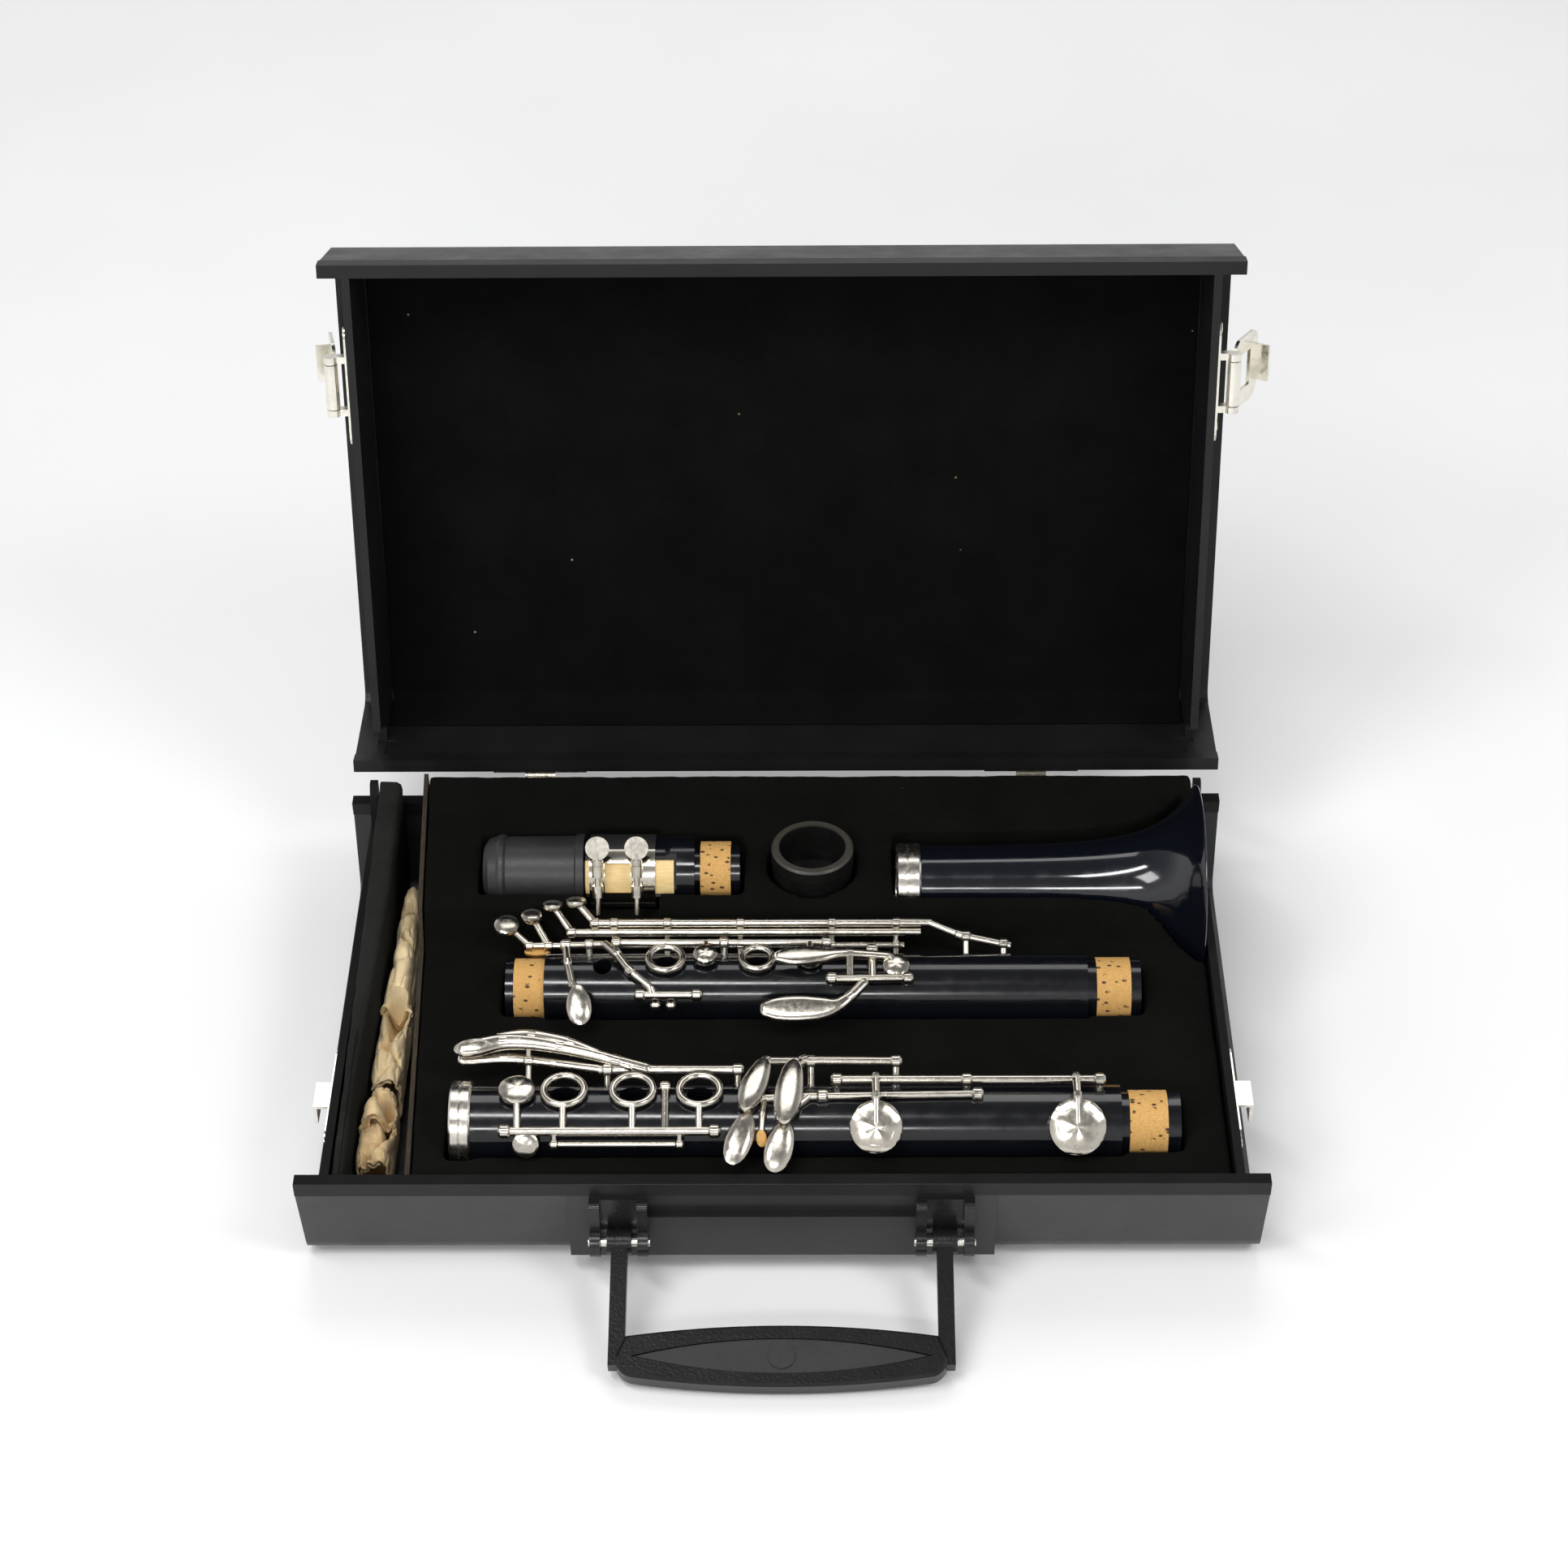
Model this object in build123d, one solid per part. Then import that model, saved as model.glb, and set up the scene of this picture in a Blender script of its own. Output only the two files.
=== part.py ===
from build123d import *
from math import asin, atan2, cos, degrees, hypot, radians, sin, tan
import os

# Millimetres. Origin: middle of the case's footprint on the floor, +X right, +Y away from
# the handle, +Z up. The lid is stored open, as it stands when the case is in use.

# Case
CASE_LENGTH = 334.0
CASE_DEPTH = 207.0
FOOT_HEIGHT = 2.0
BASE_HEIGHT = 42.0
LID_HEIGHT = 43.5
WALL = 3.0
RAKE = 10.8
END_DRAFT = 1.0
CORNER_RADIUS = 9.0
RIM_HEIGHT = 5.4
RIM_WIDTH = 5.0
RIM_PROUD = 0.7
END_INSET = 8.6
SEAM_GAP = 0.3
LID_OPEN_ANGLE = 101.0
SEAT = 0.3

HALF_LENGTH = CASE_LENGTH / 2
HALF_DEPTH = CASE_DEPTH / 2
SEAM_Z = FOOT_HEIGHT + BASE_HEIGHT
FLOOR_Z = FOOT_HEIGHT + WALL
LID_SEAM_Z = SEAM_Z + SEAM_GAP
END_OUTER = HALF_LENGTH - END_INSET
END_INNER = END_OUTER - WALL
FACE_Y = HALF_DEPTH - RIM_PROUD
RIM_INNER_Y = HALF_DEPTH - RIM_WIDTH
SLOPE = tan(radians(RAKE))
WALL_RUN = WALL / cos(radians(RAKE))

# Locating ears at the rear corners
EAR_RADIUS = 22.0
EAR_REAR_Y = RIM_INNER_Y - 3.0
EAR_TOP_Z = SEAM_Z + 14.5
EAR_CLEARANCE = 1.5

# Feet
FOOT_RADIUS = 7.0
FOOT_X = HALF_LENGTH - 29.0
FOOT_Y = HALF_DEPTH - 29.5

# Moulded panel that stands proud of the underside, between the feet
PLINTH_LENGTH = 2 * (FOOT_X - 20.0)
PLINTH_DEPTH = 2 * (FOOT_Y - 18.0)
PLINTH_RISE = 1.0
PLINTH_CORNER = 12.0

# Hinges
HINGE_SETBACK = 5.9
HINGE_X = HALF_LENGTH - 72.0
HINGE_WIDTH = 36.0
HINGE_LEAF_HEIGHT = 15.0
HINGE_LEAF_THICKNESS = 1.2
KNUCKLE_RADIUS = 3.4
HINGE_PIN_RADIUS = 1.4
RUNNING_GAP = 0.08
KNUCKLE_SPACE = 0.4
RIVET_RADIUS = 2.2
RIVET_DOME = 0.9
STOP_HEEL_LENGTH = 8.6
HINGE_Y = HALF_DEPTH + HINGE_SETBACK
HINGE_Z = SEAM_Z

# Latches
LATCH_Y = -HALF_DEPTH + 48.0
LATCH_PLATE_LENGTH = 48.0
LATCH_PLATE_THICKNESS = 1.0
LATCH_PLATE_HEIGHT = 15.0
LATCH_PLATE_LIFT = 2.0
HASP_PIVOT_OUT = 6.4
HASP_PIVOT_LIFT = 4.0
HASP_KNUCKLE_RADIUS = 2.5
HASP_PIN_RADIUS = 0.9
HASP_WIDTH = 27.0
HASP_LENGTH = 24.0
HASP_THICKNESS = 1.2
HASP_WINDOW_WIDTH = 14.0
HASP_WINDOW_LENGTH = 12.5
HASP_WINDOW_DROP = 5.0
HASP_LIP_DEPTH = 5.0
HASP_SWING_RIGHT = 150.0
HASP_SWING_LEFT = 168.0
CATCH_PLATE_HEIGHT = 17.0
CATCH_PLATE_DROP = 2.5
CATCH_NOSE_WIDTH = 12.0
CATCH_NOSE_OUT = 6.6
CATCH_NOSE_TOP = 4.2
CATCH_NOSE_HEIGHT = 8.5
SHEET = 1.2

# Handle
HANDLE_HALF_WIDTH = 58.6
HANDLE_PAD_BOTTOM = 9.0
SLOT_BOTTOM = 28.0
SLOT_DEPTH = 2.7
BRACKET_X = HANDLE_HALF_WIDTH - 2.6
BRACKET_WIDTH = 20.0
HANDLE_PAD_HALF = BRACKET_X + 17.5
SLOT_HALF = BRACKET_X - BRACKET_WIDTH / 2
BRACKET_BOTTOM = 15.5
BRACKET_BASE = 1.6
BRACKET_EAR = 3.6
BRACKET_EAR_RADIUS = 5.2
BRACKET_RIB_OUT = 3.6
HANDLE_PIVOT_OUT = 5.4
HANDLE_PIVOT_Z = 21.5
HANDLE_PIN_RADIUS = 1.6
HANDLE_REACH = 54.3
HANDLE_ARM_WIDTH = 5.6
HANDLE_ARM_HALF_THICKNESS = 2.7
HANDLE_BOSS_RADIUS = 4.2
HANDLE_BOSS_WIDTH = 8.4
GRIP_INNER_MIDDLE = 32.2
GRIP_INNER_END = 36.0
GRIP_OUTER_END = 49.5
GRIP_HALF_THICKNESS = 4.0
GRIP_CORNER = 6.5
PANEL_RECESS = 1.0
PANEL_HALF_LENGTH = HANDLE_HALF_WIDTH - 7.6
PANEL_HALF_HEIGHT = 6.2
PANEL_REACH = 43.4
HANDLE_FLOOR_GAP = 0.3
HANDLE_PIVOT_Y = -(HALF_DEPTH + HANDLE_PIVOT_OUT)

# Rows of the packed instrument, front to rear
LOWER_Y = -HALF_DEPTH + 32.3
UPPER_Y = -3.0
REAR_ROW_Y = UPPER_Y + 52.6

# Insert
TRAY_GAP = 0.3
PLUSH_EDGE = 3.0
TRAY_FRONT_TOP = SEAM_Z - 3.0
TRAY_STEP_FRONT = UPPER_Y + 23.5
TRAY_STEP_REAR = UPPER_Y + 30.5
TRAY_BLOCK_FRONT_TOP = SEAM_Z + 10.0
TRAY_REAR_TOP = SEAM_Z + 17.0
TRAY_REAR_Y = HALF_DEPTH - 7.1
TRAY_RIGHT_X = END_INNER - 0.8
DIVIDER_FRONT_X = -END_INNER + 26.6
DIVIDER_REAR_X = -END_INNER + 18.4
DIVIDER_THICKNESS = 1.6
PAD_INNER_X = -END_INNER + 9.2
PAD_FRONT_TOP = SEAM_Z - 1.5
PAD_REAR_TOP = SEAM_Z + 13.5
POCKET_CLEARANCE = 1.4
LINING_THICKNESS = 1.4
LINING_SKIRT_DROP = 17.0

# Packed instrument: axes and lengths
MOUTHPIECE_Z = SEAM_Z + 8.0
BARREL_X = 10.5
BARREL_TOP_Z = SEAM_Z + 20.0
BARREL_RADIUS = 15.3
BARREL_SOCKET_RADIUS = 12.4
BARREL_SOCKET_DEPTH = 17.0
BARREL_BORE_RADIUS = 7.4
BELL_Z = SEAM_Z + 1.0
BELL_RING_START = 41.7
BELL_BODY_START = 51.4
UPPER_Z = SEAM_Z - 3.5
UPPER_RADIUS = 13.3
LOWER_Z = SEAM_Z - 3.5
LOWER_RADIUS = 13.9
TENON_RADIUS = 10.9
TENON_COLLAR = TENON_RADIUS + 0.5
JOINT_BORE_RADIUS = 7.4
SOCKET_RADIUS = 11.9
SOCKET_DEPTH = 19.0
CORK_RADIUS = 11.7
SOCKET_RING_RADIUS = 15.4
RING_BEVEL = 0.7
RING_GROOVE = 0.4
KEY_SEAT = 0.05
BEND_SWELL = 1.25
REED_ANGLE = 150.0
UPPER_START = -100.4
UPPER_SHOULDER = -86.3
UPPER_END = 109.7
UPPER_TIP = 128.9
UPPER_CORKS = ((-97.4, -86.5), (113.0, 125.3))
CORK_SIDE_GAP = 0.2
SOCKET_START = -115.2
SOCKET_END = -107.8
LOWER_END = 117.3
LOWER_TIP = 137.9
LOWER_CORK = (120.2, 133.4)
CAP_START = -111.6
CAP_END = -74.2
CAP_RADIUS = 13.4
CAP_RIM = 14.1
CAP_WALL = 1.2
BODY_START = -73.4
BODY_END = -33.1
BAND_START = -71.9
BAND_END = -47.6
BAND_INNER = 13.0
BAND_OUTER = 13.8
SCREW_X = (-68.6, -54.2)
SCREW_OUT = 16.2
SCREW_HALF = 13.0
SCREW_RADIUS = 1.1

CENTRED = (Align.CENTER, Align.CENTER, Align.CENTER)
ON_BASE = (Align.CENTER, Align.CENTER, Align.MIN)


# Helpers
def span_box(x0, x1, y0, y1, z0, z1):
    block = Box(x1 - x0, y1 - y0, z1 - z0)
    return Pos((x0 + x1) / 2, (y0 + y1) / 2, (z0 + z1) / 2) * block


def rod(a, b, radius):
    start = Vector(*a)
    run = Vector(*b) - start
    return Plane(origin=start, z_dir=run) * Cylinder(radius, run.length, align=ON_BASE)


def tube(a, b, outer, inner):
    return rod(a, b, outer) - rod(a, b, inner)


def knob(p, radius, along=(1, 0, 0)):
    # a short barrel-shaped boss, its axis along the rod that it carries
    body = Plane(origin=Vector(*p), z_dir=Vector(*along)) * Cylinder(radius, radius * 1.8)
    return chamfer(body.edges().filter_by(GeomType.CIRCLE), radius * 0.35)


def fuse(shapes):
    body = shapes[0]
    for shape in shapes[1:]:
        body = body + shape
    return body


def bent_rod(points, radius):
    pieces = [rod(a, b, radius) for a, b in zip(points, points[1:])]
    for a, b, c in zip(points, points[1:], points[2:]):
        onward = (Vector(*b) - Vector(*a)).normalized() + (Vector(*c) - Vector(*b)).normalized()
        pieces.append(knob(b, radius * BEND_SWELL, (onward.X, onward.Y, onward.Z)))
    return fuse(pieces)


def oval_plate(centre, along, normal, length, width, thickness):
    frame = Plane(origin=Vector(*centre), x_dir=Vector(*along), z_dir=Vector(*normal))
    return extrude(frame * Ellipse(length / 2, width / 2), amount=thickness / 2, both=True)


def disc(centre, normal, radius, thickness):
    frame = Plane(origin=Vector(*centre), z_dir=Vector(*normal))
    return frame * Cylinder(radius, thickness)


def ring(centre, normal, outer, inner, thickness):
    return disc(centre, normal, outer, thickness) - disc(centre, normal, inner, thickness * 2)


def turned(points, y, z):
    # solid of revolution about the line through (y, z) along X; points are (x, radius)
    outline = [(points[0][0], 0.0)] + list(points) + [(points[-1][0], 0.0)]
    face = make_face(Polyline(*outline, close=True))
    return Pos(0, y, z) * revolve(face, Axis.X)


def yz_prism(points, x0, x1):
    face = make_face(Polyline(*points, close=True))
    return extrude(Plane.YZ.offset(x0) * face, amount=x1 - x0)


def around(y, z, x, radius, angle):
    # point on a circle about an X-parallel axis; 0 degrees is +Y, 90 degrees is +Z
    return (x, y + radius * cos(radians(angle)), z + radius * sin(radians(angle)))


def mirrored(shape):
    return mirror(shape, Plane.YZ)


def hinge_turn(shape, angle):
    return Pos(0, HINGE_Y, HINGE_Z) * Rot(angle, 0, 0) * Pos(0, -HINGE_Y, -HINGE_Z) * shape


def lid_pose(shape):
    return hinge_turn(shape, -LID_OPEN_ANGLE)


# Shells
def shell_faces(height):
    # both faces stand on z = 0 with the mouth at z = height
    rim_z = height - RIM_HEIGHT
    foot_y = FACE_Y - rim_z * SLOPE
    outer_points = [(foot_y, 0), (FACE_Y, rim_z), (HALF_DEPTH, rim_z), (HALF_DEPTH, height)]
    inner_foot = foot_y + WALL * SLOPE - WALL_RUN
    inner_points = [(inner_foot, WALL), (FACE_Y - WALL_RUN, rim_z), (RIM_INNER_Y, rim_z),
                    (RIM_INNER_Y, height)]
    faces = []
    for points, radius in ((outer_points, CORNER_RADIUS), (inner_points, CORNER_RADIUS - WALL)):
        left = [(-y, z) for y, z in reversed(points)]
        face = make_face(Polyline(*(points + left), close=True))
        low = min(z for y, z in points)
        corners = [v for v in face.vertices() if abs(v.Y - low) < WALL / 10]
        faces.append(fillet(corners, radius))
    return faces


def half_shell(height):
    outer, inner = shell_faces(height)
    wrap = extrude(Plane.YZ * (outer - inner), amount=HALF_LENGTH, both=True)
    run_in = height * tan(radians(END_DRAFT))
    wedge = make_face(Polyline((HALF_LENGTH, height), (HALF_LENGTH + WALL, height),
                               (HALF_LENGTH + WALL, 0), (HALF_LENGTH - run_in, 0), close=True))
    cutter = extrude(Plane.XZ * wedge, amount=CASE_DEPTH, both=True)
    wrap = wrap - cutter - mirrored(cutter)
    end = extrude(Plane.YZ.offset(END_INNER) * outer, amount=WALL)
    body = wrap + end + mirrored(end)
    cavity = extrude(Plane.YZ * inner, amount=END_INNER, both=True)
    return body, cavity


def hinge_pads(height):
    pads = []
    for x in (-HINGE_X, HINGE_X):
        half = HINGE_WIDTH / 2 + 2
        top = height - RIM_HEIGHT
        pads.append(span_box(x - half, x + half, FACE_Y - HINGE_LEAF_HEIGHT, HALF_DEPTH,
                             top - HINGE_LEAF_HEIGHT + 1, top))
    return pads


def make_base_shell():
    body, cavity = half_shell(BASE_HEIGHT)
    pad_top = BASE_HEIGHT - RIM_HEIGHT
    pad = span_box(-HANDLE_PAD_HALF, HANDLE_PAD_HALF, -HALF_DEPTH, -HALF_DEPTH + WALL * 3,
                   HANDLE_PAD_BOTTOM - FOOT_HEIGHT, pad_top)
    body = body + (fuse([pad] + hinge_pads(BASE_HEIGHT)) - cavity)
    slot_floor = -HALF_DEPTH + SLOT_DEPTH
    body = body - span_box(-SLOT_HALF, SLOT_HALF, -HALF_DEPTH - WALL, slot_floor,
                           SLOT_BOTTOM - FOOT_HEIGHT, pad_top)
    plinth = Pos(0, 0, -PLINTH_RISE) * Box(PLINTH_LENGTH, PLINTH_DEPTH, PLINTH_RISE + WALL / 2,
                                           align=ON_BASE)
    body = body + fillet(plinth.edges().filter_by(Axis.Z), PLINTH_CORNER)
    body = Pos(0, 0, FOOT_HEIGHT) * body
    ear = span_box(END_INNER, END_OUTER, HINGE_Y - EAR_RADIUS, EAR_REAR_Y, SEAM_Z - WALL,
                   EAR_TOP_Z)
    ear = ear & rod((END_INNER, HINGE_Y, HINGE_Z), (END_OUTER, HINGE_Y, HINGE_Z), EAR_RADIUS)
    return body + ear + mirrored(ear)


def make_lid_shell():
    body, cavity = half_shell(LID_HEIGHT)
    body = body + (fuse(hinge_pads(LID_HEIGHT)) - cavity)
    body = Pos(0, 0, LID_SEAM_Z + LID_HEIGHT) * mirror(body, Plane.XY)
    room = EAR_RADIUS + EAR_CLEARANCE
    notch = span_box(END_INNER - WALL, END_OUTER + WALL, HINGE_Y - room, RIM_INNER_Y,
                     SEAM_Z - WALL, EAR_TOP_Z + EAR_CLEARANCE)
    notch = notch & rod((END_INNER - WALL, HINGE_Y, HINGE_Z),
                        (END_OUTER + SEAM_GAP, HINGE_Y, HINGE_Z), room)
    return lid_pose(body - notch - mirrored(notch))


def make_lid_lining():
    outer, inner = shell_faces(LID_HEIGHT)
    rim_z = LID_HEIGHT - RIM_HEIGHT
    foot = FACE_Y - rim_z * SLOPE + WALL * SLOPE - WALL_RUN
    low = WALL
    skirt = WALL + LINING_SKIRT_DROP
    gap = SEAT / 2
    points = [(foot - gap, low), (foot - gap + (skirt - low) * SLOPE, skirt)]
    points += [(points[1][0] - LINING_THICKNESS, skirt),
               (points[0][0] - LINING_THICKNESS, low + LINING_THICKNESS)]
    left = [(-y, z) for y, z in reversed(points)]
    profile = make_face(Polyline(*(points + left), close=True))
    radius = CORNER_RADIUS - WALL
    corners = [v for v in profile.vertices() if abs(v.Y - low) < gap]
    profile = fillet(corners, radius)
    ends = [v for v in profile.vertices() if abs(v.Y - low - LINING_THICKNESS) < gap]
    profile = fillet(ends, radius - LINING_THICKNESS)
    body = extrude(Plane.YZ * profile, amount=END_INNER - SEAT, both=True)
    return lid_pose(Pos(0, 0, LID_SEAM_Z + LID_HEIGHT) * mirror(body, Plane.XY))


# Hinges
def rivets(points, normal):
    heads = []
    for p in points:
        frame = Plane(origin=Vector(*p), z_dir=Vector(*normal))
        head = frame * Cylinder(RIVET_RADIUS, RIVET_DOME, align=ON_BASE)
        heads.append(chamfer(head.edges().sort_by(Axis(frame.origin, frame.z_dir))[-1],
                             RIVET_DOME / 2))
    return heads


def leaf(x, knuckle_spans, up):
    # up = +1 for the lid's leaf, -1 for the base's, both drawn in the closed position
    half = HINGE_WIDTH / 2
    face = HALF_DEPTH
    outside = face + HINGE_LEAF_THICKNESS
    reach = RIM_HEIGHT + HINGE_LEAF_HEIGHT - 1
    web_low = KNUCKLE_RADIUS - HINGE_LEAF_THICKNESS * 1.5
    plate = span_box(x - half, x + half, face, outside, 0, reach - web_low)
    plate = Pos(0, 0, web_low) * plate
    bore = rod((x - half - 1, HINGE_Y, 0), (x + half + 1, HINGE_Y, 0),
               HINGE_PIN_RADIUS + RUNNING_GAP)
    pieces = [plate]
    for x0, x1 in knuckle_spans:
        pieces.append(rod((x0, HINGE_Y, 0), (x1, HINGE_Y, 0), KNUCKLE_RADIUS))
        pieces.append(span_box(x0, x1, face, HINGE_Y, web_low,
                               web_low + HINGE_LEAF_THICKNESS * 1.2))
    heads = [(x + dx, outside, reach * 0.66) for dx in (-half * 0.62, 0, half * 0.62)]
    body = fuse(pieces + rivets(heads, (0, 1, 0))) - bore
    if up < 0:
        body = mirror(body, Plane.XY)
    return Pos(0, 0, HINGE_Z) * body


def knuckle_layout(x):
    third = HINGE_WIDTH / 3
    left = x - HINGE_WIDTH / 2
    outer = [(left, left + third - KNUCKLE_SPACE / 2),
             (left + 2 * third + KNUCKLE_SPACE / 2, left + HINGE_WIDTH)]
    middle = [(left + third + KNUCKLE_SPACE / 2, left + 2 * third - KNUCKLE_SPACE / 2)]
    return outer, middle


def make_base_leaf(x):
    outer, middle = knuckle_layout(x)
    return leaf(x, outer, -1)


def make_lid_leaf(x):
    outer, middle = knuckle_layout(x)
    body = lid_pose(leaf(x, middle, 1))
    # the heel comes to rest on the base leaf and stops the lid
    x0, x1 = middle[0]
    rest_y = HALF_DEPTH + HINGE_LEAF_THICKNESS + RUNNING_GAP
    heel_z = HINGE_Z - STOP_HEEL_LENGTH
    heel = [(HINGE_Y, HINGE_Z - KNUCKLE_RADIUS * 0.7), (rest_y, heel_z + 1),
            (rest_y, heel_z), (rest_y + 1.6, heel_z), (HINGE_Y + KNUCKLE_RADIUS * 0.5,
                                                     HINGE_Z - KNUCKLE_RADIUS * 0.8)]
    bore = rod((x0 - 1, HINGE_Y, HINGE_Z), (x1 + 1, HINGE_Y, HINGE_Z),
               HINGE_PIN_RADIUS + RUNNING_GAP)
    return body + yz_prism(heel, x0, x1) - bore


def make_hinge_pin(x):
    half = HINGE_WIDTH / 2
    pin = rod((x - half - 1, HINGE_Y, HINGE_Z), (x + half + 1, HINGE_Y, HINGE_Z),
              HINGE_PIN_RADIUS)
    heads = [rod((x + side * (half + 0.3), HINGE_Y, HINGE_Z),
                 (x + side * (half + 1.3), HINGE_Y, HINGE_Z), HINGE_PIN_RADIUS * 1.7)
             for side in (-1, 1)]
    return fuse([pin] + heads)


# Latches (right side)
PIVOT_X = END_OUTER + HASP_PIVOT_OUT
PIVOT_Z = SEAM_Z + HASP_PIVOT_LIFT
HASP_BARREL_HALF = HASP_WINDOW_WIDTH / 2 + 1.6
HASP_EAR = 2.6


def rounded_plate(x0, x1, y_mid, length, z0, z1):
    plate = span_box(x0, x1, y_mid - length / 2, y_mid + length / 2, z0, z1)
    return fillet(plate.edges().filter_by(Axis.X), (z1 - z0) / 3)


def latch_swing(shape, angle):
    return Pos(PIVOT_X, 0, PIVOT_Z) * Rot(0, angle, 0) * Pos(-PIVOT_X, 0, -PIVOT_Z) * shape


def make_latch_plate():
    low = SEAM_Z + LATCH_PLATE_LIFT
    outside = END_OUTER + LATCH_PLATE_THICKNESS
    plate = rounded_plate(END_OUTER, outside, LATCH_Y, LATCH_PLATE_LENGTH, low,
                          low + LATCH_PLATE_HEIGHT)
    pieces = [plate]
    for side in (-1, 1):
        inner = LATCH_Y + side * (HASP_BARREL_HALF + KNUCKLE_SPACE)
        outer = inner + side * HASP_EAR
        pieces.append(rod((PIVOT_X, inner, PIVOT_Z), (PIVOT_X, outer, PIVOT_Z),
                          HASP_KNUCKLE_RADIUS))
        pieces.append(span_box(outside - 0.2, PIVOT_X, min(inner, outer), max(inner, outer),
                               PIVOT_Z - HASP_KNUCKLE_RADIUS / 3, PIVOT_Z + HASP_KNUCKLE_RADIUS))
    heads = [(outside, LATCH_Y + side * LATCH_PLATE_LENGTH * 0.4, low + LATCH_PLATE_HEIGHT / 2)
             for side in (-1, 1)]
    pieces += rivets(heads, (1, 0, 0))
    bore = rod((PIVOT_X, LATCH_Y - HASP_WIDTH, PIVOT_Z), (PIVOT_X, LATCH_Y + HASP_WIDTH, PIVOT_Z),
               HASP_PIN_RADIUS + RUNNING_GAP)
    return fuse(pieces) - bore


def make_latch_pin():
    end = HASP_BARREL_HALF + KNUCKLE_SPACE + HASP_EAR
    return rod((PIVOT_X, LATCH_Y - end, PIVOT_Z), (PIVOT_X, LATCH_Y + end, PIVOT_Z),
               HASP_PIN_RADIUS)


def make_hasp():
    # drawn hanging shut across the seam
    inner = PIVOT_X + HASP_KNUCKLE_RADIUS - HASP_THICKNESS
    outer = inner + HASP_THICKNESS
    low = PIVOT_Z - HASP_LENGTH
    top = PIVOT_Z
    half = HASP_WIDTH / 2
    neck = HASP_KNUCKLE_RADIUS + 1.2
    blade = span_box(inner, outer, LATCH_Y - half, LATCH_Y + half, low, top - neck)
    blade = fillet(blade.edges().filter_by(Axis.X), HASP_WIDTH / 5)
    barrel = rod((PIVOT_X, LATCH_Y - HASP_BARREL_HALF, PIVOT_Z),
                 (PIVOT_X, LATCH_Y + HASP_BARREL_HALF, PIVOT_Z), HASP_KNUCKLE_RADIUS)
    stem = span_box(inner, outer, LATCH_Y - HASP_BARREL_HALF, LATCH_Y + HASP_BARREL_HALF,
                    top - neck - 1, top)
    window_half = HASP_WINDOW_WIDTH / 2
    window_top = top - HASP_WINDOW_DROP
    window_low = window_top - HASP_WINDOW_LENGTH
    window = span_box(inner - 1, outer + 1, LATCH_Y - window_half, LATCH_Y + window_half,
                      window_low, window_top)
    lip = span_box(inner - HASP_LIP_DEPTH, outer, LATCH_Y - window_half, LATCH_Y + window_half,
                   low, low + HASP_THICKNESS)
    bore = rod((PIVOT_X, LATCH_Y - half, PIVOT_Z), (PIVOT_X, LATCH_Y + half, PIVOT_Z),
               HASP_PIN_RADIUS + RUNNING_GAP)
    return blade + barrel + stem - window + lip - bore


def make_catch():
    top = SEAM_Z - CATCH_PLATE_DROP
    outside = END_OUTER + LATCH_PLATE_THICKNESS
    plate = rounded_plate(END_OUTER, outside, LATCH_Y, LATCH_PLATE_LENGTH,
                          top - CATCH_PLATE_HEIGHT, top)
    half = CATCH_NOSE_WIDTH / 2
    nose_top = SEAM_Z - CATCH_NOSE_TOP
    nose_out = END_OUTER + CATCH_NOSE_OUT
    shelf = span_box(outside - 0.2, nose_out, LATCH_Y - half, LATCH_Y + half,
                     nose_top - SHEET, nose_top)
    face = span_box(nose_out - SHEET, nose_out, LATCH_Y - half, LATCH_Y + half,
                    nose_top - CATCH_NOSE_HEIGHT, nose_top)
    heads = [(outside, LATCH_Y + side * LATCH_PLATE_LENGTH * 0.38, top - CATCH_PLATE_HEIGHT / 2)
             for side in (-1, 1)]
    return fuse([plate, shelf, face] + rivets(heads, (1, 0, 0)))


# Handle
def handle_pose(shape):
    # leaned forward until the grip's underside is just over the floor
    drop = HANDLE_PIVOT_Z - HANDLE_FLOOR_GAP
    reach = hypot(HANDLE_REACH, GRIP_HALF_THICKNESS)
    lean = asin(min(drop / reach, 1.0)) - atan2(GRIP_HALF_THICKNESS, HANDLE_REACH)
    return Pos(0, HANDLE_PIVOT_Y, HANDLE_PIVOT_Z) * Rot(degrees(lean), 0, 0) * shape


def arch(half_length, middle, end):
    return ThreePointArc((-half_length, -end), (0, -middle), (half_length, -end))


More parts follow.
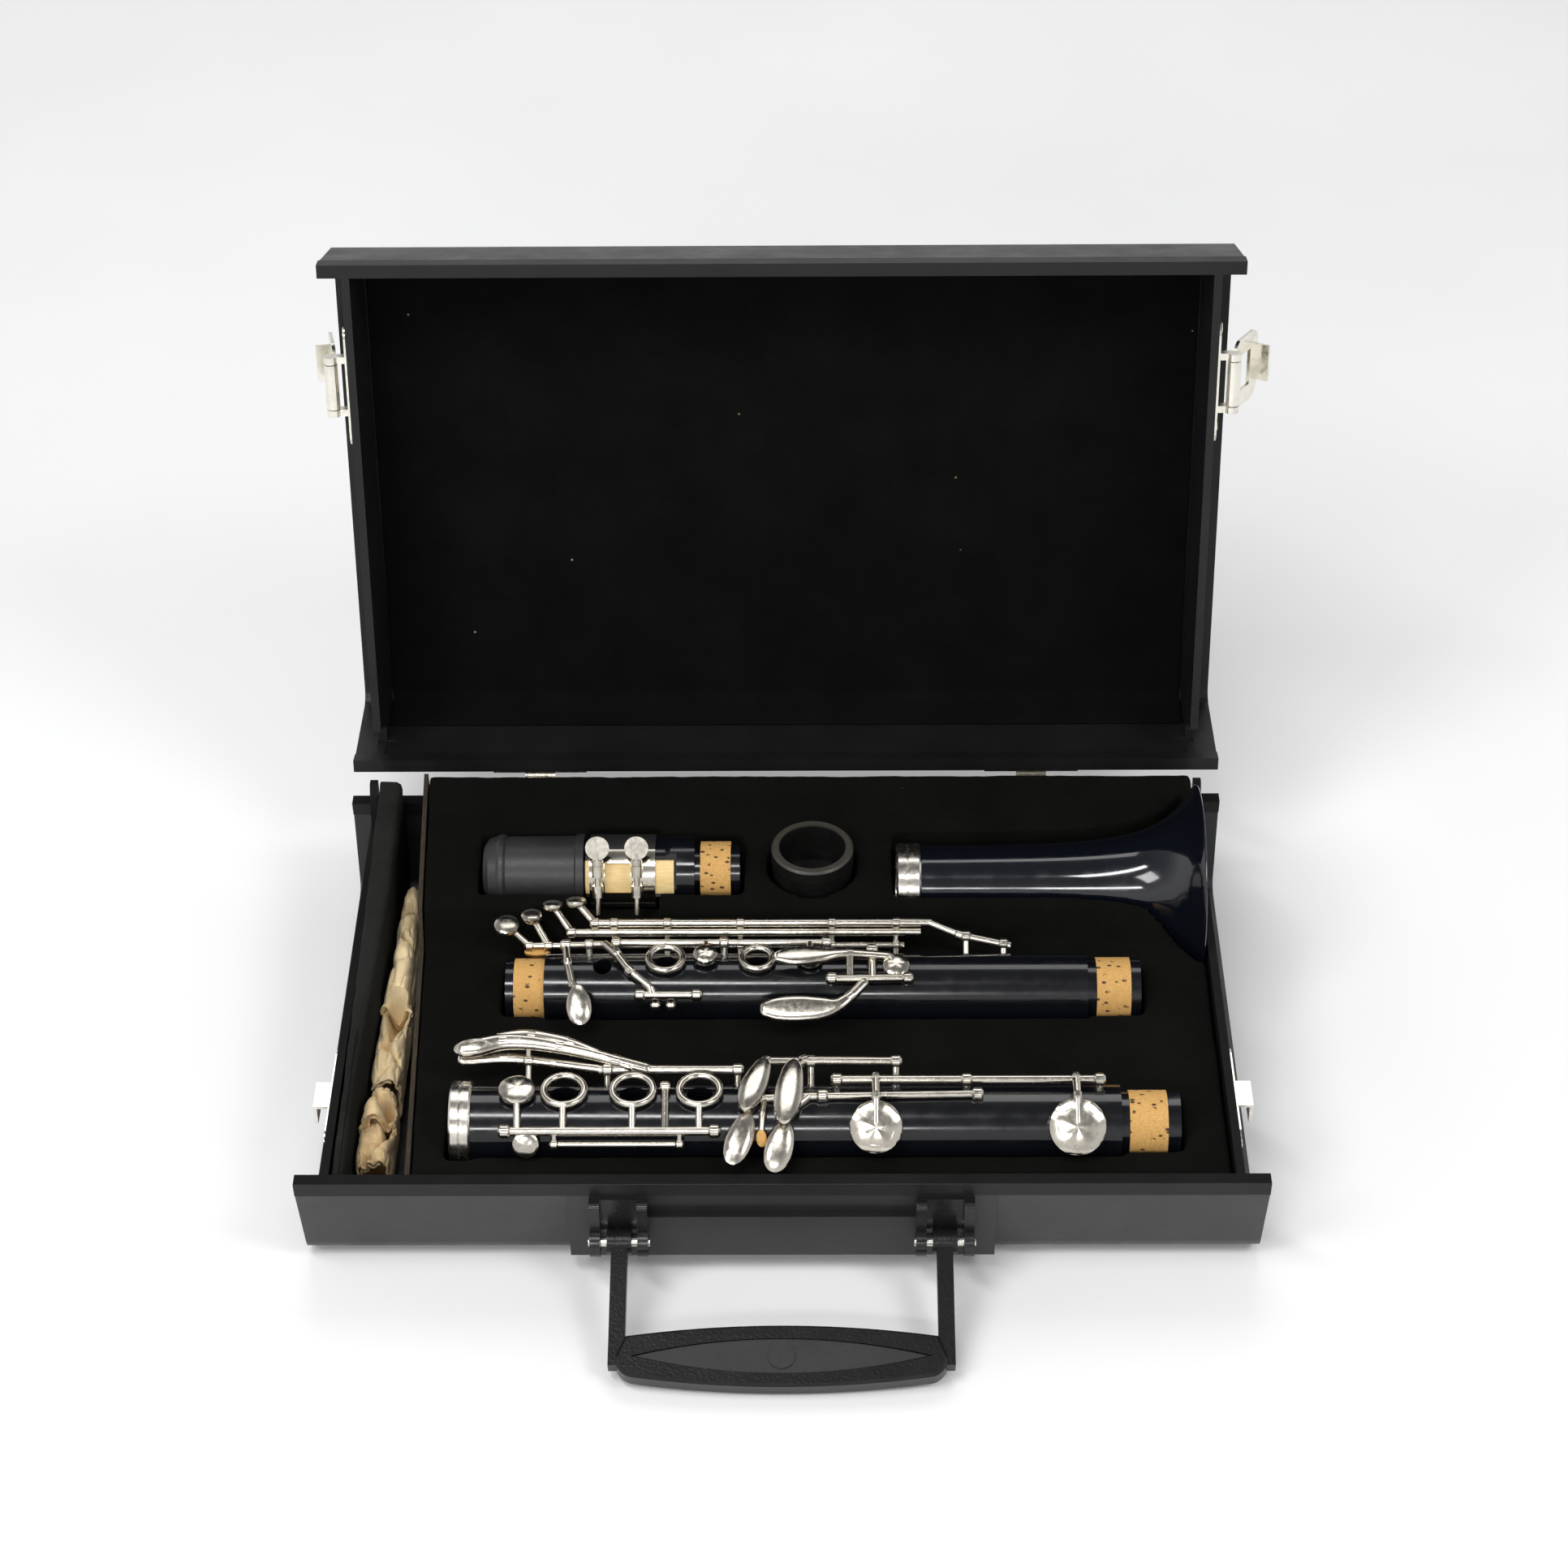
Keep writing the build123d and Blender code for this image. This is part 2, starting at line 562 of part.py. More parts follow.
def make_handle():
    # drawn level: local X along the case, local -Y away from the case, local Z its thickness
    arm_inner = HANDLE_HALF_WIDTH - HANDLE_ARM_WIDTH
    outer_arc = arch(HANDLE_HALF_WIDTH, HANDLE_REACH, GRIP_OUTER_END)
    inner_arc = arch(arm_inner, GRIP_INNER_MIDDLE, GRIP_INNER_END)
    grip_face = make_face(Curve() + [
        outer_arc, inner_arc,
        Line(outer_arc @ 0, inner_arc @ 0), Line(outer_arc @ 1, inner_arc @ 1)])
    grip = extrude(grip_face, amount=GRIP_HALF_THICKNESS, both=True)
    corners = grip.edges().filter_by(Axis.Z).group_by(Axis.Y)[0]
    grip = fillet(corners, GRIP_CORNER)
    rim = grip.edges().filter_by(lambda e: e.length > arm_inner).group_by(Axis.Z)
    grip = chamfer(rim[0] + rim[-1], GRIP_HALF_THICKNESS / 4)
    pieces = [grip]
    for side in (-1, 1):
        x_mid = side * (HANDLE_HALF_WIDTH - HANDLE_ARM_WIDTH / 2)
        arm = span_box(x_mid - HANDLE_ARM_WIDTH / 2, x_mid + HANDLE_ARM_WIDTH / 2,
                       -GRIP_OUTER_END + GRIP_CORNER / 2, 0,
                       -HANDLE_ARM_HALF_THICKNESS, HANDLE_ARM_HALF_THICKNESS)
        pieces.append(arm)
        boss_half = HANDLE_BOSS_WIDTH / 2
        pieces.append(rod((side * BRACKET_X - boss_half, 0, 0),
                          (side * BRACKET_X + boss_half, 0, 0), HANDLE_BOSS_RADIUS))
    bore = rod((-HANDLE_HALF_WIDTH * 1.5, 0, 0), (HANDLE_HALF_WIDTH * 1.5, 0, 0),
               HANDLE_PIN_RADIUS + RUNNING_GAP)
    lens = panel_lens(PANEL_HALF_LENGTH, PANEL_HALF_HEIGHT, GRIP_HALF_THICKNESS - PANEL_RECESS,
                      PANEL_RECESS * 2)
    return handle_pose(fuse(pieces) - bore - lens)


def panel_lens(half_length, half_height, z, thickness):
    middle = -PANEL_REACH
    upper = ThreePointArc((-half_length, middle), (0, middle + half_height), (half_length, middle))
    lower = ThreePointArc((-half_length, middle), (0, middle - half_height), (half_length, middle))
    return Pos(0, 0, z) * extrude(make_face(Curve() + [upper, lower]), amount=thickness)


def make_handle_panel():
    gap = SEAT / 2
    plate = panel_lens(PANEL_HALF_LENGTH - gap * 12, PANEL_HALF_HEIGHT - gap,
                       GRIP_HALF_THICKNESS - PANEL_RECESS, PANEL_RECESS * 0.6)
    badge = Pos(0, -PANEL_REACH, GRIP_HALF_THICKNESS - PANEL_RECESS * 0.5)
    badge = badge * Cylinder(4.6, PANEL_RECESS * 0.6, align=ON_BASE)
    return handle_pose(plate + badge)


def make_bracket(side):
    x = side * BRACKET_X
    half = BRACKET_WIDTH / 2
    face = -HALF_DEPTH
    front = face - BRACKET_BASE
    top = SEAM_Z - RIM_HEIGHT - 0.4
    base = span_box(x - half, x + half, front, face, BRACKET_BOTTOM, top)
    pieces = [base]
    for end in (-1, 1):
        x_out = x + end * half
        x_in = x_out - end * BRACKET_EAR
        x0, x1 = min(x_in, x_out), max(x_in, x_out)
        pieces.append(rod((x0, HANDLE_PIVOT_Y, HANDLE_PIVOT_Z),
                          (x1, HANDLE_PIVOT_Y, HANDLE_PIVOT_Z), BRACKET_EAR_RADIUS))
        pieces.append(span_box(x0, x1, HANDLE_PIVOT_Y, face,
                               HANDLE_PIVOT_Z - BRACKET_EAR_RADIUS,
                               HANDLE_PIVOT_Z + BRACKET_EAR_RADIUS * 0.6))
        rib = span_box(x0, x1, front - BRACKET_RIB_OUT, face,
                       HANDLE_PIVOT_Z, top)
        pieces.append(fillet(rib.edges().filter_by(Axis.X).group_by(Axis.Y)[0]
                             .sort_by(Axis.Z)[-1:], BRACKET_RIB_OUT / 2))
    body = fuse(pieces)
    bore = rod((x - BRACKET_WIDTH, HANDLE_PIVOT_Y, HANDLE_PIVOT_Z),
               (x + BRACKET_WIDTH, HANDLE_PIVOT_Y, HANDLE_PIVOT_Z),
               HANDLE_PIN_RADIUS + RUNNING_GAP)
    relief = rod((x - half + BRACKET_EAR, HANDLE_PIVOT_Y, HANDLE_PIVOT_Z),
                 (x + half - BRACKET_EAR, HANDLE_PIVOT_Y, HANDLE_PIVOT_Z),
                 HANDLE_BOSS_RADIUS + SEAT)
    return body - bore - relief


def make_handle_pin(side):
    x = side * BRACKET_X
    half = BRACKET_WIDTH / 2
    return rod((x - half - 0.6, HANDLE_PIVOT_Y, HANDLE_PIVOT_Z),
               (x + half + 0.6, HANDLE_PIVOT_Y, HANDLE_PIVOT_Z), HANDLE_PIN_RADIUS)


# Insert and padding
def inner_y(z):
    # inside face of the base's front and rear panels at height z
    rim_z = BASE_HEIGHT - RIM_HEIGHT + FOOT_HEIGHT
    return min(FACE_Y - (rim_z - z) * SLOPE - WALL_RUN, RIM_INNER_Y)


def block_profile(front_top, rear_points):
    low = FLOOR_Z + TRAY_GAP / 3
    knee = FLOOR_Z + CORNER_RADIUS
    points = [(-(inner_y(low) - CORNER_RADIUS * 0.8), low), (-(inner_y(knee) - TRAY_GAP), knee),
              (-(RIM_INNER_Y - TRAY_GAP), SEAM_Z - RIM_HEIGHT), (-(RIM_INNER_Y - TRAY_GAP), front_top)]
    points += rear_points
    points += [(RIM_INNER_Y - TRAY_GAP, SEAM_Z), (RIM_INNER_Y - TRAY_GAP, SEAM_Z - RIM_HEIGHT),
               (inner_y(knee) - TRAY_GAP, knee), (inner_y(low) - CORNER_RADIUS * 0.8, low)]
    return points


def divider_x(y):
    share = (y + RIM_INNER_Y) / (2 * RIM_INNER_Y)
    return DIVIDER_FRONT_X + (DIVIDER_REAR_X - DIVIDER_FRONT_X) * share


def plan_prism(points):
    face = make_face(Polyline(*points, close=True))
    return extrude(face, amount=SEAM_Z * 2)


def tray_profile(drop=0.0):
    return block_profile(TRAY_FRONT_TOP - drop, [
        (TRAY_STEP_FRONT, TRAY_FRONT_TOP - drop), (TRAY_STEP_REAR, TRAY_BLOCK_FRONT_TOP - drop),
        (TRAY_REAR_Y, TRAY_REAR_TOP - drop)])


def slanted_plan(offset_left, offset_right, right_x=None):
    reach = HALF_DEPTH
    left = [(divider_x(-reach) + offset_left, -reach), (divider_x(reach) + offset_left, reach)]
    if right_x is None:
        right = [(divider_x(reach) + offset_right, reach), (divider_x(-reach) + offset_right, -reach)]
    else:
        right = [(right_x, reach), (right_x, -reach)]
    return plan_prism(left + right)


BELL_SEAT_RADIUS = 13.4
BELL_SOCKET_DEPTH = 10.0
BELL_BORE_PROFILE = [(BELL_BODY_START + BELL_SOCKET_DEPTH, 7.6), (95.0, 9.0), (118.0, 12.6),
                     (133.0, 17.6), (143.0, 23.2), (150.0, 30.6), (153.6, 35.2), (155.5, 35.6)]
BELL_PROFILE = [(BELL_BODY_START, 14.6), (70.0, 14.8), (95.0, 15.4), (112.0, 16.4),
                (125.0, 18.2), (135.0, 21.0), (142.5, 25.0), (148.0, 30.0), (152.0, 35.4),
                (153.6, 37.3), (154.3, 37.3)]


def drop_in_pocket(points, y, z, top, room):
    # pocket for a turned piece laid in from above; points are (x, piece radius). The pocket
    # is wider by room all round and lifted, so the piece lies just over its floor
    wide = [(x, r + room) for x, r in points]
    centre_z = z + room - SEAT
    plan = [(x, y + r) for x, r in wide] + [(x, y - r) for x, r in reversed(wide)]
    well = extrude(Plane.XY.offset(centre_z) * make_face(Polyline(*plan, close=True)),
                   amount=top - centre_z)
    return turned(wide, y, centre_z) + well


def make_tray():
    body = yz_prism(tray_profile(), -HALF_LENGTH, HALF_LENGTH)
    body = body & slanted_plan(DIVIDER_THICKNESS / 2 + TRAY_GAP, 0, TRAY_RIGHT_X)
    ridge = body.edges().filter_by(Axis.X).filter_by(
        lambda e: e.center().Z > TRAY_FRONT_TOP - 0.5 and TRAY_STEP_FRONT - 1 < e.center().Y)
    body = fillet(ridge, PLUSH_EDGE)
    c = POCKET_CLEARANCE
    top = BARREL_TOP_Z
    widest = BELL_PROFILE[-1][1]
    bell_room = [(BELL_RING_START - c, SOCKET_RING_RADIUS), (BELL_BODY_START, SOCKET_RING_RADIUS)]
    bell_room += [(x - c, r) for x, r in BELL_PROFILE[2:-1]] + [(END_INNER + 1, widest)]
    pockets = [
        drop_in_pocket([(CAP_START - c, CAP_RIM), (BODY_END + c * 13, CAP_RIM)],
                       REAR_ROW_Y, MOUTHPIECE_Z, top, c / 2),
        span_box(BAND_START - c, BAND_END + c, TRAY_STEP_FRONT, REAR_ROW_Y,
                 MOUTHPIECE_Z - SCREW_HALF / 2, top),
        span_box(BAND_START - c, BAND_END + c, REAR_ROW_Y, REAR_ROW_Y + SCREW_HALF * 1.4,
                 MOUTHPIECE_Z, top),
        rod((BARREL_X, REAR_ROW_Y, 0), (BARREL_X, REAR_ROW_Y, top), BARREL_RADIUS + c),
        drop_in_pocket(bell_room, REAR_ROW_Y, BELL_Z, top, c / 2),
        drop_in_pocket([(UPPER_START - c, CORK_RADIUS), (UPPER_SHOULDER - c, CORK_RADIUS),
                        (UPPER_SHOULDER - c, UPPER_RADIUS), (UPPER_END + c, UPPER_RADIUS),
                        (UPPER_END + c, CORK_RADIUS), (UPPER_TIP + c, CORK_RADIUS)],
                       UPPER_Y, UPPER_Z, top, c),
        drop_in_pocket([(SOCKET_START - c, SOCKET_RING_RADIUS), (SOCKET_END + c, SOCKET_RING_RADIUS),
                        (SOCKET_END + c, LOWER_RADIUS), (LOWER_END + c, LOWER_RADIUS),
                        (LOWER_END + c, CORK_RADIUS), (LOWER_TIP + c, CORK_RADIUS)],
                       LOWER_Y, LOWER_Z, top, c)]
    return body - fuse(pockets)


def make_divider():
    half = DIVIDER_THICKNESS / 2
    return yz_prism(tray_profile(SEAT), -HALF_LENGTH, HALF_LENGTH) & slanted_plan(-half, half)


def make_end_padding():
    profile = block_profile(PAD_FRONT_TOP, [(TRAY_STEP_REAR, PAD_FRONT_TOP + 8),
                                            (TRAY_REAR_Y, PAD_REAR_TOP)])
    body = yz_prism(profile, -END_INNER + SEAT, PAD_INNER_X)
    crown = body.edges().filter_by(lambda e: e.center().Z > PAD_FRONT_TOP - 1
                                   and abs(e.center().X - PAD_INNER_X) < 0.1
                                   and e.length > TRAY_STEP_REAR)
    return fillet(crown, PLUSH_EDGE)


# Cloth
# Sections: distance from the front, distance of the middle from the end wall, half width,
# drop of the top under the seam
CLOTH_ROLL = [(64.0, 16.6, 5.8, 13.0), (83.5, 15.2, 4.5, 11.0), (101.5, 15.2, 4.8, 9.0),
              (121.5, 15.6, 3.8, 8.5), (141.5, 14.4, 3.7, 9.5), (155.5, 15.0, 3.3, 8.0),
              (168.5, 14.2, 2.6, 11.0)]
CLOTH_FOLD = [(19.5, 17.2, 6.4, 11.0), (31.5, 17.0, 6.8, 9.0), (47.5, 16.6, 6.4, 10.0),
              (60.0, 16.4, 5.6, 12.0)]


def cloth_loft(sections):
    faces = []
    for from_front, from_end, half_width, drop in sections:
        y = from_front - HALF_DEPTH
        x_mid, top = from_end - END_INNER, SEAM_Z - drop
        low = FLOOR_Z + TRAY_GAP / 3
        middle = (low + top) / 2
        plane = Plane(origin=(x_mid, y, middle), x_dir=(1, 0, 0), z_dir=(0, 1, 0))
        outline = RectangleRounded(half_width * 2, top - low, half_width * 0.8)
        faces.append(plane * outline)
    return loft(Sketch() + faces)


# Mouthpiece set
REED_OUT = (0, cos(radians(REED_ANGLE)), sin(radians(REED_ANGLE)))
REED_ACROSS = (0, sin(radians(REED_ANGLE)), -cos(radians(REED_ANGLE)))
MOUTHPIECE_RADIUS = 12.6
MOUTHPIECE_SHOULDER_RADIUS = MOUTHPIECE_RADIUS + 0.6
MOUTHPIECE_TENON_STEP = 1.2
MOUTHPIECE_TENON_RADIUS = TENON_RADIUS - MOUTHPIECE_TENON_STEP
MOUTHPIECE_BORE_RADIUS = 7.2
MOUTHPIECE_BORE_START = -60.0
MOUTHPIECE_TIP = -16.4
MOUTHPIECE_CORK_START = -31.0
MOUTHPIECE_CORK_END = -19.8
BEAK = [(-104.0, 5.0), (-90.0, 9.0), (BODY_START, 11.4)]
TABLE_DEPTH = 10.0
REED_BACK = 12.9
REED_HALF_WIDTH = 6.2
REED_END = -40.7


def mouthpiece_frame(out, across, x=0.0):
    return (x, REAR_ROW_Y + REED_OUT[1] * out + REED_ACROSS[1] * across,
            MOUTHPIECE_Z + REED_OUT[2] * out + REED_ACROSS[2] * across)


def reed_slab(x0, x1, out0, out1, half_width):
    middle = mouthpiece_frame((out0 + out1) / 2, 0, x0)
    frame = Plane(origin=middle, x_dir=REED_OUT, z_dir=(1, 0, 0))
    return frame * Box(out1 - out0, half_width * 2, x1 - x0, align=ON_BASE)


def make_mouthpiece():
    nose = turned(BEAK, REAR_ROW_Y, MOUTHPIECE_Z)
    body = turned([(BODY_START, MOUTHPIECE_RADIUS), (-44.0, MOUTHPIECE_RADIUS),
                   (-42.0, MOUTHPIECE_SHOULDER_RADIUS), (BODY_END, MOUTHPIECE_SHOULDER_RADIUS),
                   (BODY_END, MOUTHPIECE_TENON_RADIUS), (MOUTHPIECE_TIP, MOUTHPIECE_TENON_RADIUS)],
                  REAR_ROW_Y, MOUTHPIECE_Z)
    bore = rod((MOUTHPIECE_BORE_START, REAR_ROW_Y, MOUTHPIECE_Z),
               (MOUTHPIECE_TIP + 1, REAR_ROW_Y, MOUTHPIECE_Z), MOUTHPIECE_BORE_RADIUS)
    table = reed_slab(-106.0, REED_END + 1.0, TABLE_DEPTH, BAND_OUTER, REED_BACK)
    return nose + body - bore - table


def make_reed():
    round_back = turned([(-100.0, REED_BACK), (REED_END, REED_BACK)], REAR_ROW_Y, MOUTHPIECE_Z)
    strip = reed_slab(BODY_START, REED_END, TABLE_DEPTH, BAND_OUTER, REED_HALF_WIDTH)
    return round_back & strip


def make_mouthpiece_cork():
    return tube((MOUTHPIECE_CORK_START, REAR_ROW_Y, MOUTHPIECE_Z),
                (MOUTHPIECE_CORK_END, REAR_ROW_Y, MOUTHPIECE_Z),
                CORK_RADIUS - MOUTHPIECE_TENON_STEP / 2, MOUTHPIECE_TENON_RADIUS + KEY_SEAT)


def make_cap():
    outside = [(CAP_START, 9.5), (CAP_START + 2.0, 12.4), (CAP_START + 5.0, CAP_RADIUS),
               (CAP_START + 6.0, CAP_RADIUS + 0.6), (CAP_START + 7.5, CAP_RADIUS + 0.6),
               (CAP_START + 8.5, CAP_RADIUS - 0.3), (CAP_END - 3.4, CAP_RADIUS - 0.1),
               (CAP_END - 2.8, CAP_RIM), (CAP_END, CAP_RIM)]
    inside = [(CAP_START + 2.4, 9.0), (CAP_START + 6.0, CAP_RADIUS - CAP_WALL),
              (CAP_END + 1.0, CAP_RADIUS - CAP_WALL)]
    return (turned(outside, REAR_ROW_Y, MOUTHPIECE_Z) - turned(inside, REAR_ROW_Y, MOUTHPIECE_Z))


def make_screw(x):
    shank = rod(mouthpiece_frame(SCREW_OUT, -SCREW_HALF, x),
                mouthpiece_frame(SCREW_OUT, SCREW_HALF - 3, x), SCREW_RADIUS)
    collar = rod(mouthpiece_frame(SCREW_OUT, 5.4, x),
                 mouthpiece_frame(SCREW_OUT, 7.4, x), SCREW_RADIUS * 1.9)
    head = disc(mouthpiece_frame(SCREW_OUT, SCREW_HALF - 1, x), REED_OUT, 4.4, 1.8)
    return shank + collar + head


def make_ligature():
    band = tube((BAND_START, REAR_ROW_Y, MOUTHPIECE_Z), (BAND_END, REAR_ROW_Y, MOUTHPIECE_Z),
                BAND_OUTER, BAND_INNER)
    for x in SCREW_X:
        for low, high in ((-6.6, -2.2), (1.0, 5.2)):
            band = band + rod(mouthpiece_frame(SCREW_OUT, low, x),
                              mouthpiece_frame(SCREW_OUT, high, x), SCREW_RADIUS * 1.9)
            middle = mouthpiece_frame(BAND_OUTER, (low + high) / 2, x)
            frame = Plane(origin=middle, x_dir=REED_OUT, z_dir=REED_ACROSS)
            band = band + frame * Box(SCREW_OUT - BAND_INNER + 0.8, 3.2, high - low)
    opening = reed_slab(SCREW_X[0] + 2.4, SCREW_X[1] - 2.4, 0, SCREW_OUT * 2, 5.6)
    bore = rod(mouthpiece_frame(SCREW_OUT, -20, 0), mouthpiece_frame(SCREW_OUT, 5.3, 0),
               SCREW_RADIUS + RUNNING_GAP)
    band = band - opening
    for x in SCREW_X:
        band = band - Pos(x, 0, 0) * bore
    clear = turned([(BAND_START - 1, BAND_INNER), (BAND_END + 1, BAND_INNER)],
                   REAR_ROW_Y, MOUTHPIECE_Z)
    return band - clear


# Barrel and bell
def ring_outline(x0, x1, groove_at):
    # metal band with softened ends and one turned groove at a share of its width
    groove = x0 + (x1 - x0) * groove_at
    low = SOCKET_RING_RADIUS - RING_BEVEL
    return [(x0, low), (x0 + RING_BEVEL, SOCKET_RING_RADIUS),
            (groove - RING_GROOVE, SOCKET_RING_RADIUS), (groove, SOCKET_RING_RADIUS - RING_GROOVE),
            (groove + RING_GROOVE, SOCKET_RING_RADIUS), (x1 - RING_BEVEL, SOCKET_RING_RADIUS),
            (x1, low)]


def make_barrel():
    base = FLOOR_Z + TRAY_GAP / 6
    length = BARREL_TOP_Z - base
    waist = BARREL_RADIUS - 1.2
    sides = Spline((BARREL_RADIUS, 5.0), (waist, length / 2), (BARREL_RADIUS, length - 5.0))
    points = [(BARREL_RADIUS, length - 5.0), (BARREL_RADIUS, length - 0.8),
              (BARREL_RADIUS - 0.8, length), (0, length), (0, 0), (BARREL_RADIUS - 0.8, 0),
              (BARREL_RADIUS, 0.8), (BARREL_RADIUS, 5.0)]
    outline = Curve() + [sides, Polyline(*points)]
    body = revolve(Plane.XZ * make_face(outline), Axis.Z)
    body = Pos(BARREL_X, REAR_ROW_Y, base) * body
    centre = (BARREL_X, REAR_ROW_Y)
    body = body - rod((*centre, 0), (*centre, BARREL_TOP_Z + 1), BARREL_BORE_RADIUS)
    body = body - rod((*centre, BARREL_TOP_Z - BARREL_SOCKET_DEPTH), (*centre, BARREL_TOP_Z + 1),
                      BARREL_SOCKET_RADIUS)
    return body - rod((*centre, 0), (*centre, base + BARREL_SOCKET_DEPTH), BARREL_SOCKET_RADIUS)


def make_bell():
    outside = [(BELL_RING_START + 1.0, BELL_SEAT_RADIUS),
               (BELL_BODY_START - SEAT, BELL_SEAT_RADIUS),
               (BELL_BODY_START - SEAT, BELL_PROFILE[0][1])] + BELL_PROFILE[1:]
    socket_end = BELL_BODY_START + BELL_SOCKET_DEPTH
    inside = [(BELL_RING_START, SOCKET_RADIUS), (socket_end, SOCKET_RADIUS)] + BELL_BORE_PROFILE
    return turned(outside, REAR_ROW_Y, BELL_Z) - turned(inside, REAR_ROW_Y, BELL_Z)


def make_bell_ring():
    seat = rod((BELL_RING_START - 1, REAR_ROW_Y, BELL_Z), (BELL_BODY_START, REAR_ROW_Y, BELL_Z),
               BELL_SEAT_RADIUS + KEY_SEAT)
    outline = ring_outline(BELL_RING_START, BELL_BODY_START - SEAT * 2, 0.45)
    return turned(outline, REAR_ROW_Y, BELL_Z) - seat


# Joints
def joint_body(points, y, z, holes):
    body = turned(points, y, z)
    body = body - rod((points[0][0] - 1, y, z), (points[-1][0] + 1, y, z), JOINT_BORE_RADIUS)
    for x, radius, angle in holes:
        reach = around(y, z, x, LOWER_RADIUS * 1.5, angle)
        body = body - rod((x, y, z), reach, radius)
    return body


def cork_groove(shoulder, x0, x1, tip):
    # outline of a tenon past its shoulder: a collar, the groove that holds the cork, a collar
    return [(shoulder, TENON_COLLAR), (x0 - CORK_SIDE_GAP, TENON_COLLAR),
            (x0 - CORK_SIDE_GAP, TENON_RADIUS), (x1 + CORK_SIDE_GAP, TENON_RADIUS),
            (x1 + CORK_SIDE_GAP, TENON_COLLAR), (tip, TENON_COLLAR)]


def cork_ring(x0, x1, y, z):
    return tube((x0, y, z), (x1, y, z), CORK_RADIUS, TENON_RADIUS + KEY_SEAT)


def make_upper_body():
    left_groove = UPPER_CORKS[0][0] - CORK_SIDE_GAP
    points = [(UPPER_START, TENON_COLLAR), (left_groove, TENON_COLLAR),
              (left_groove, TENON_RADIUS), (UPPER_SHOULDER, TENON_RADIUS),
              (UPPER_SHOULDER, UPPER_RADIUS), (UPPER_END, UPPER_RADIUS)]
    points += cork_groove(UPPER_END, *UPPER_CORKS[1], UPPER_TIP)
    holes = [(-65.3, 3.4, 96), (-42.5, 4.0, 88), (-9.4, 3.6, 88), (10.2, 2.6, 92)]
    return joint_body(points, UPPER_Y, UPPER_Z, holes)


def make_lower_body():
    points = [(SOCKET_START + 0.6, LOWER_RADIUS), (LOWER_END, LOWER_RADIUS)]
    points += cork_groove(LOWER_END, *LOWER_CORK, LOWER_TIP)
    holes = [(-75.5, 5.0, 88), (-51.6, 4.8, 88), (-28.5, 4.6, 88), (101.6, 6.0, 133),
             (32.4, 5.6, 133)]
    body = joint_body(points, LOWER_Y, LOWER_Z, holes)
    socket = rod((SOCKET_START - 1, LOWER_Y, LOWER_Z),
                 (SOCKET_START + SOCKET_DEPTH, LOWER_Y, LOWER_Z), SOCKET_RADIUS)
    return body - socket


def make_socket_ring():
    seat = rod((SOCKET_START - 1, LOWER_Y, LOWER_Z), (SOCKET_END + 1, LOWER_Y, LOWER_Z),
               LOWER_RADIUS + KEY_SEAT)
    return turned(ring_outline(SOCKET_START, SOCKET_END, 0.48), LOWER_Y, LOWER_Z) - seat


# Key work
def post(axis_y, axis_z, foot_radius, p, radius, head):
    # p is the pivot's point; the post stands square on the wooden body under it
    dy, dz = p[1] - axis_y, p[2] - axis_z
    span = (dy * dy + dz * dz) ** 0.5
    foot = (p[0], axis_y + dy / span * foot_radius * 0.9, axis_z + dz / span * foot_radius * 0.9)
    return [rod(foot, p, radius), knob(p, head)]


# Axes (y, z) that the key groups are drawn about; each group then moves onto its joint
UPPER_DRAWN = (-3.0, 40.5)
LOWER_DRAWN = (-71.2, 40.5)


def seated(shapes, drawn, y, z, radius):
    core = rod((-HALF_LENGTH, *drawn), (HALF_LENGTH, *drawn), radius + KEY_SEAT)
    return Pos(0, y - drawn[0], z - drawn[1]) * (fuse(shapes) - core)


def upper_keys(shapes):
    return seated(shapes, UPPER_DRAWN, UPPER_Y, UPPER_Z, UPPER_RADIUS)


def lower_keys(shapes):
    return seated(shapes, LOWER_DRAWN, LOWER_Y, LOWER_Z, LOWER_RADIUS)


def upper_post(p, radius=1.3, head=2.0):
    return post(*UPPER_DRAWN, UPPER_RADIUS, p, radius, head)


def lower_post(p, radius=1.3, head=2.1):
    return post(*LOWER_DRAWN, LOWER_RADIUS, p, radius, head)


SIDE_RAILS = [  # (y, z) of each long rod and its ends along X
    ((17.7, 54.6), -70.0, 54.0),
    ((15.6, 52.0), -78.5, 50.0),
    ((13.2, 47.6), -94.0, 44.0)]
SIDE_RAIL_RADIUS = 1.5
# Finger end, where its arm leaves the rod, which way the touch faces, and its diameter
SIDE_TOUCHES = [((-76.1, 25.4, 58.1), (-69.0, 17.7, 54.6), (0, 0.4, 0.92), 6.8),
                ((-84.7, 24.8, 57.0), (-77.5, 15.6, 52.0), (0, 0.4, 0.92), 6.8),
                ((-92.3, 20.8, 55.2), (-86.0, 13.2, 47.6), (0, 0.1, 1), 7.2),
                ((-101.2, 16.4, 54.6), (-93.0, 13.2, 47.6), (0, -0.1, 1), 8.6)]
SIDE_TOUCH_THICKNESS = 1.8


